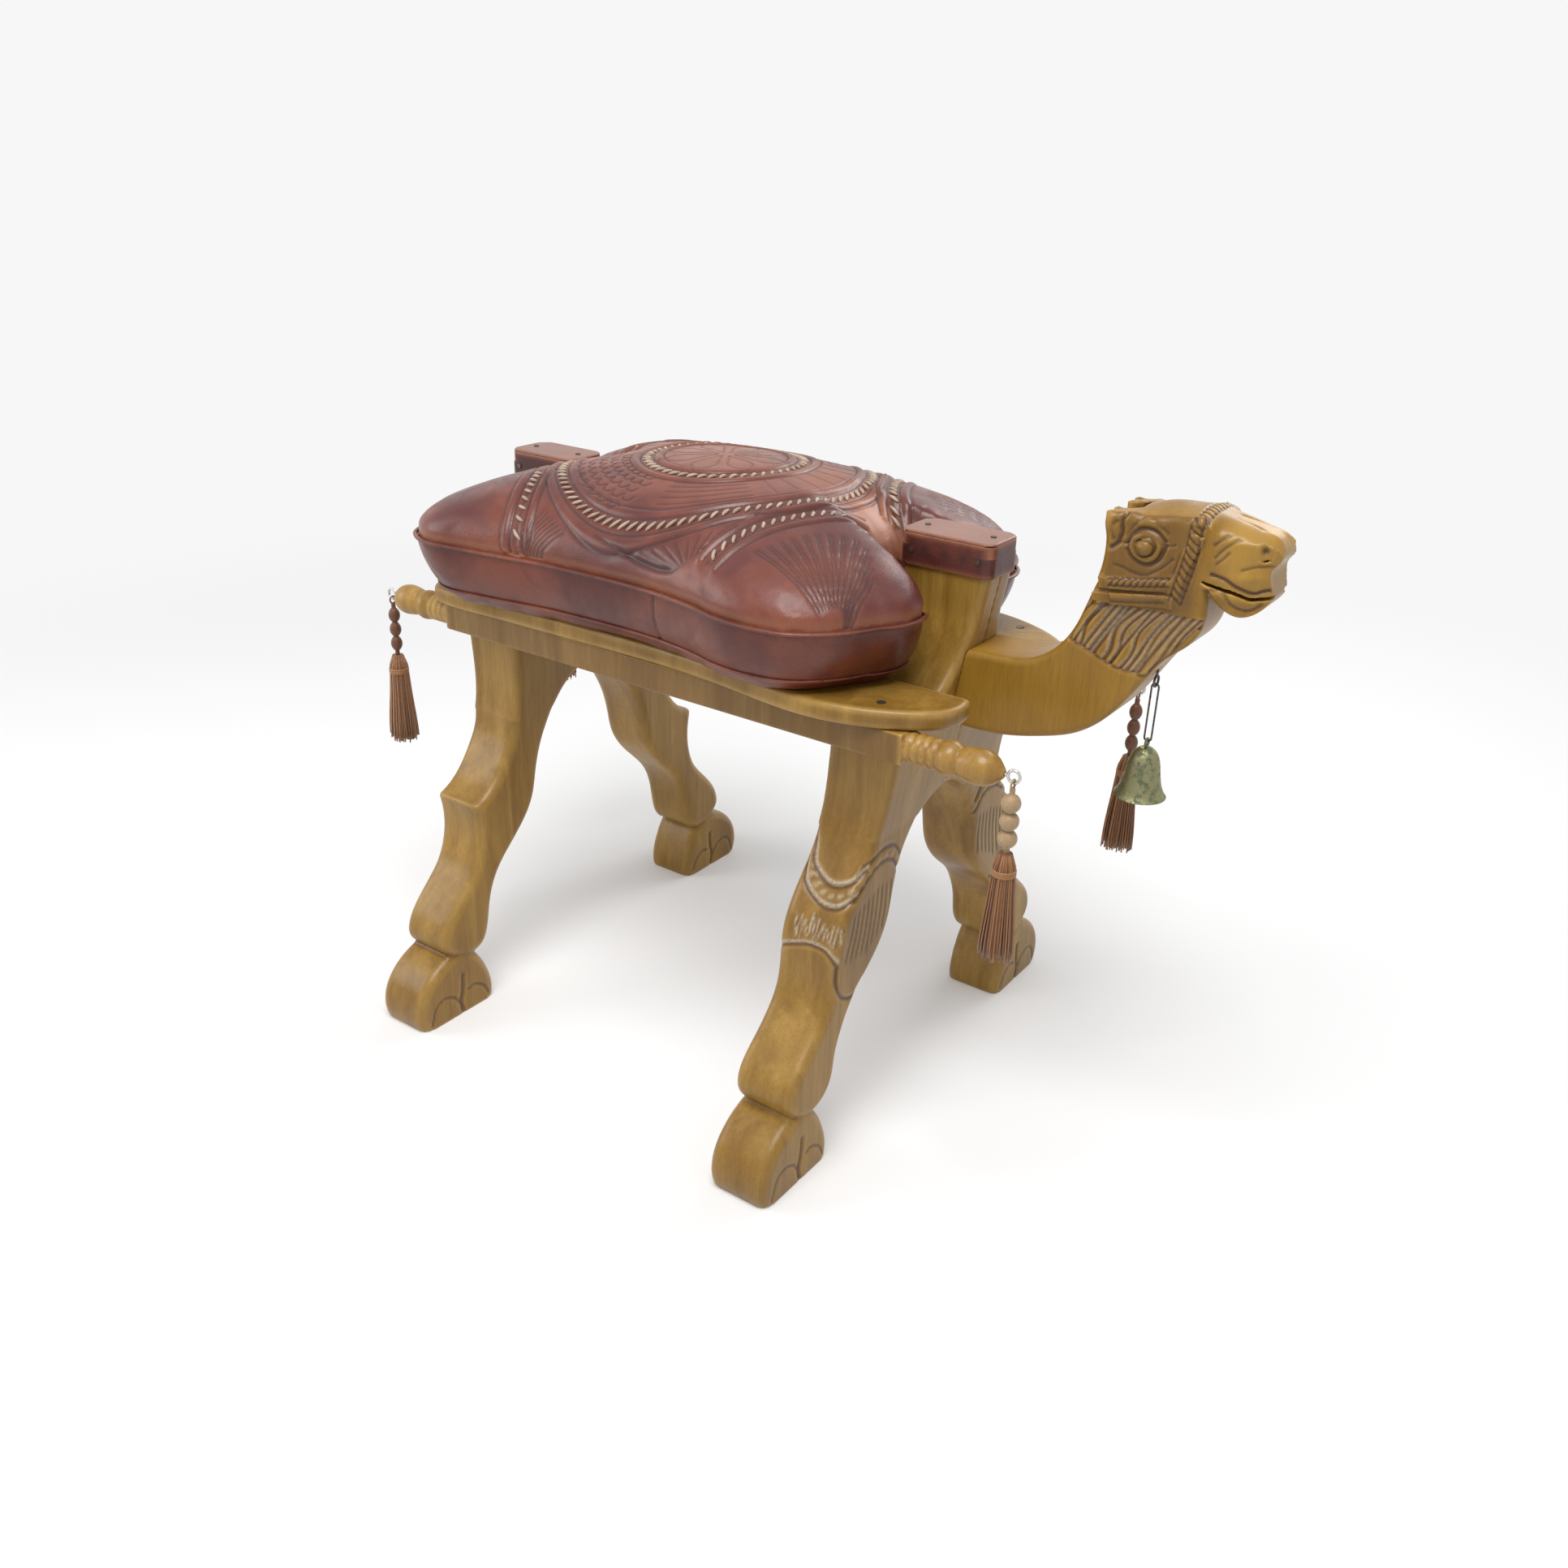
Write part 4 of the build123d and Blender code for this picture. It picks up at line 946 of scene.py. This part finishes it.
def tooling(work):
    """Cuts and presses the pattern into the leather's top and returns the laced lines."""
    top = (work.normals[:, 2] > 0.12) & (work.points[:, 2] > cushion_under + band_high)
    laced = [ring_line(*oval, steps=160), ring_line(*circle, steps=110)]
    for way in (-1, 1):
        laced.append(spline(mirrored(front_lace, -way), 8))
        laced.append(spline(mirrored(rear_lace, -way), 8)[:16])
    for line in laced:
        work.line(line, 9, 1.5, (0, 1), top, ink=0.25)
        for gap in (-5.5, 5.5):
            work.line(beside(line, gap), 2.2, 0.9, (0, 1), top, ink=0.75)
        for gap in (-10, 10):
            work.line(beside(line, gap), 6, -1.2, (0, 1), top)
            work.line(beside(line, gap * 1.35), 2.2, 0.9, (0, 1), top, ink=0.7)
    for way in (-1, 1):
        for apex, ends, count, half in fans:
            for end in evenly(spline(ends), np.linalg.norm(np.diff(ends, axis=0), axis=1).sum() / count):
                ray = np.array(apex) + np.outer((0.16, 0.5, 0.88), end - apex)
                ray = spline(mirrored(ray, -way), 6)
                for gap in (-half, half) if half else (0,):
                    work.line(beside(ray, gap), 1.6, 0.5, (0, 1), top, ink=0.75, taper=5)
        for turned in (5.5, -5.5):
            band = beside(spline(mirrored(rear_lace, -way), 8), turned)
            work.line(band, 2.0, 0.7, (0, 1), top, ink=0.5)
        for radius in arc_radii:
            arc = ring_line(arcs_x, arcs_y * -way, radius, radius, arc_start * -way, arc_turn * -way, 18)
            work.line(arc, 1.7, 0.4, (0, 1), top, ink=0.65)
        for row, radius in enumerate(scale_radii):
            for angle in np.arange(scale_angles[0] + 3 * (row % 2), scale_angles[1], scale_step):
                turn = math.radians(angle)
                x, y = arcs_x + radius * math.cos(turn), arcs_y + radius * math.sin(turn)
                scale = ring_line(x, y, scale_reach, scale_reach, angle - 90, 180, 8)
                work.line(mirrored(scale, -way), 1.8, 0.7, (0, 1), top, ink=0.8)
    for k in range(8):
        angle = math.radians(45 * k + 10)
        for tilt in (-0.24, 0.24):
            petal = [(circle[0] + r * math.cos(angle + t), circle[1] + r * math.sin(angle + t))
                     for r, t in ((8, 0), (24, tilt), (40, tilt), (57, 0))]
            work.line(spline(petal, 6), 1.9, 0.5, (0, 1), top, ink=0.35)
    for start in [*range(-30, 35, 10), *range(155, 210, 10)]:
        angle = math.radians(start)
        ray = [(arcs_x + r * math.cos(angle), arcs_y + r * math.sin(angle)) for r in (80, 95, 112)]
        work.line(ray, 2.0, 0.45, (0, 1), top, ink=0.4, taper=5)
    return laced


def holes(work, laced):
    """Small dark dents under the stitches."""
    top = work.points[:, 2] > cushion_under + band_high
    for line in laced:
        for spot in evenly(line, stitch_gap):
            work.dome(spot, (2.0, 2.0), -0.3, (0, 1), top, ink=0.8)


def lacing(mesh, laced):
    """Slanting cream stitches laid over the laced lines."""
    work = bmesh.new()
    work.from_mesh(mesh)
    tree = BVHTree.FromBMesh(work)
    work.free()
    parts = []
    draw = np.random.default_rng(8)
    for line in laced:
        spots = evenly(line, stitch_gap)
        for a, b in zip(spots[:-1], spots[1:]):
            run = (b - a) / np.linalg.norm(b - a)
            reach = np.array((-run[1], run[0])) * 3.3 + run * draw.uniform(2.0, 3.2)
            path = []
            for t in np.linspace(-1, 1, 5):
                plan = (a + b) / 2 + reach * t
                place, normal, _, _ = tree.ray_cast(seat(plan[0], plan[1], above_all), Vector((0, 0, -1)))
                if place is None:
                    break
                raised = place + normal * (0.9 - 0.9 * t * t) * MM
                path.append(np.array(raised) / MM - SEAT)
            if len(path) == 5:
                points, faces = tube(path, np.array((0.8, 1.35, 1.5, 1.35, 0.8)), 6)
                parts.append((points, faces, draw.uniform(0, 1)))
    return joined(parts)


def cushion():
    """The stuffed leather with its band, crown, tooling, piping and lacing."""
    mesh = even_mesh("cushion", 5, 1)
    mesh = finer(blown_up(mesh), 2)
    work = Carving(mesh)
    height = work.points[:, 2] - cushion_under
    beside_seam = bell_curve(height - band_low, 7) + bell_curve(height - band_high, 7)
    upright = abs(work.normals[:, 2]) < 0.85
    work.lift += seam_fill * beside_seam * upright
    share = np.clip((height - band_low) / (band_high - band_low), 0, 1)
    work.lift += band_bulge * np.sqrt(np.sin(math.pi * share)) * upright * (height < band_high)
    rising = smooth_step(height, band_high, band_high + 10)
    falling = smooth_step(-height, -band_high - 60, -band_high - 14)
    work.lift += crown_puff * (rising * falling)
    laced = tooling(work)
    holes(work, laced)
    x, y = work.points[:, 0], work.points[:, 1]
    upward = work.normals[:, 2] > 0.2
    for middle_x, middle_y, radius, much in rubbed:
        gap = np.hypot(x - middle_x, (y - middle_y) * 1.3)
        work.mark("wear", slice(None), much * bell_curve(gap, radius * 2) * upward)
    work.mark("wear", slice(None), 0.5 * bell_curve(height - band_high - 4, 9) * (height > band_high - 4))
    seam = (work.normals[:, 1] < -0.4) & (height < band_high) & (height > band_low)
    across = [(24, band_low + cushion_under), (25, band_high + cushion_under)]
    work.line(across, 2.6, 1.0, (0, 2), seam, ink=0.6)
    work.apply(0.35, 0.12, 4)
    made = add("cushion_leather", work.mesh, "cushion", seat_paint)
    made.data.materials.append(band_paint)
    for face in made.data.polygons:
        if face.center.z / MM < cushion_under + band_high:
            face.material_index = 1
    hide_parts("cushion")
    for node in ("cushion_welt_top", "cushion_welt_bottom"):
        welt = Carving(even_mesh(node, 1.1, 1))
        welt.lift -= seam_fill
        welt.apply()
        piping = add(node + "_piping", welt.mesh, "cushion", welt_paint)
        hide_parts(node)
    points, faces, shades = lacing(work.mesh, laced)
    stitches = build("cushion_lacing", points, faces, "cushion", lace_paint)
    store(stitches.data, "shade", shades)


cushion()

# Tassels


def tassel(corner, seed):
    """A knotted string and a skirt of silk strands, where the CAD nodes hang."""
    draw = np.random.default_rng(seed)
    body = "tassel_" + corner
    low, high = (np.array(v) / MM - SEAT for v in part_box("tassel_skirt_" + corner))
    middle = (low + high) / 2
    top, bottom = high[2], low[2]
    foot = (high[0] - low[0]) / 2
    head_radius = foot * 0.6
    count = 150
    parts = []
    for k in range(count):
        angle = golden_angle * k
        share = math.sqrt((k + 0.5) / count)
        out = np.array((math.cos(angle), math.sin(angle), 0))
        wave = draw.uniform(-0.6, 0.6, 2)
        length = (top - bottom) * draw.uniform(0.9, 0.995)
        path = []
        for t in np.linspace(0, 1, 9):
            spread = 0.35 + 0.32 * smooth_step(t, 0.0, 0.12) - 0.1 * bell_curve(t - 0.17, 0.12)
            spread += 0.33 * smooth_step(t, 0.2, 1)
            radius = foot * share * spread * 0.96
            lean = np.array((wave[0] * math.sin(4 * t), wave[1] * math.sin(5 * t + 1), 0)) * 0.6
            path.append(middle * (1, 1, 0) + (0, 0, top - length * t) + out * radius + lean * t)
        points, faces = tube(path, strand_radius, 5)
        parts.append((points, faces, draw.uniform(0, 1)))
    tie_z = top - 0.17 * (top - bottom)
    for k in range(3):
        ring = ring_line(middle[0], middle[1], head_radius, head_radius)
        path = [(x, y, tie_z + tie_pitch * (k - 1)) for x, y in ring]
        points, faces = tube(path, tie_radius, 6)
        parts.append((points, faces, 0.9))
    points, faces, shades = joined(parts)
    made = build(f"tassel_{corner}_silk", points, faces, body, rust_paint)
    store(made.data, "shade", shades)
    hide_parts("tassel_skirt_" + corner)
    node = "tassel_cord_" + corner
    work = even_mesh(node, 0.45, 1)
    paint = pale_paint if corner == "front_right" else cord_paint
    knots = add(f"tassel_{corner}_string", work, body, paint)
    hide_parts(node)


for index, corner in enumerate(("front_left", "front_right", "rear_left", "rear_right")):
    tassel(corner, index + 3)

# Metal pieces and pegs keep their solids and take these materials.
kept_paint = {
    "board_nails": iron_paint,
    "cap_tacks": iron_paint,
    "frame_dowels": peg_paint,
    "rail_dowels": peg_paint,
    "neck_dowels": peg_paint,
    "screw_eye": steel_paint,
    "bell_eye": wire_paint,
    "bell_hanger": wire_paint,
    "bell": brass_paint,
    "clapper": wire_paint,
}
for name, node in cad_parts.items():
    if node.hide_render:
        continue
    found = max((key for key in kept_paint if name.startswith(key)), key=len)
    node.data.materials.clear()
    node.data.materials.append(kept_paint[found])
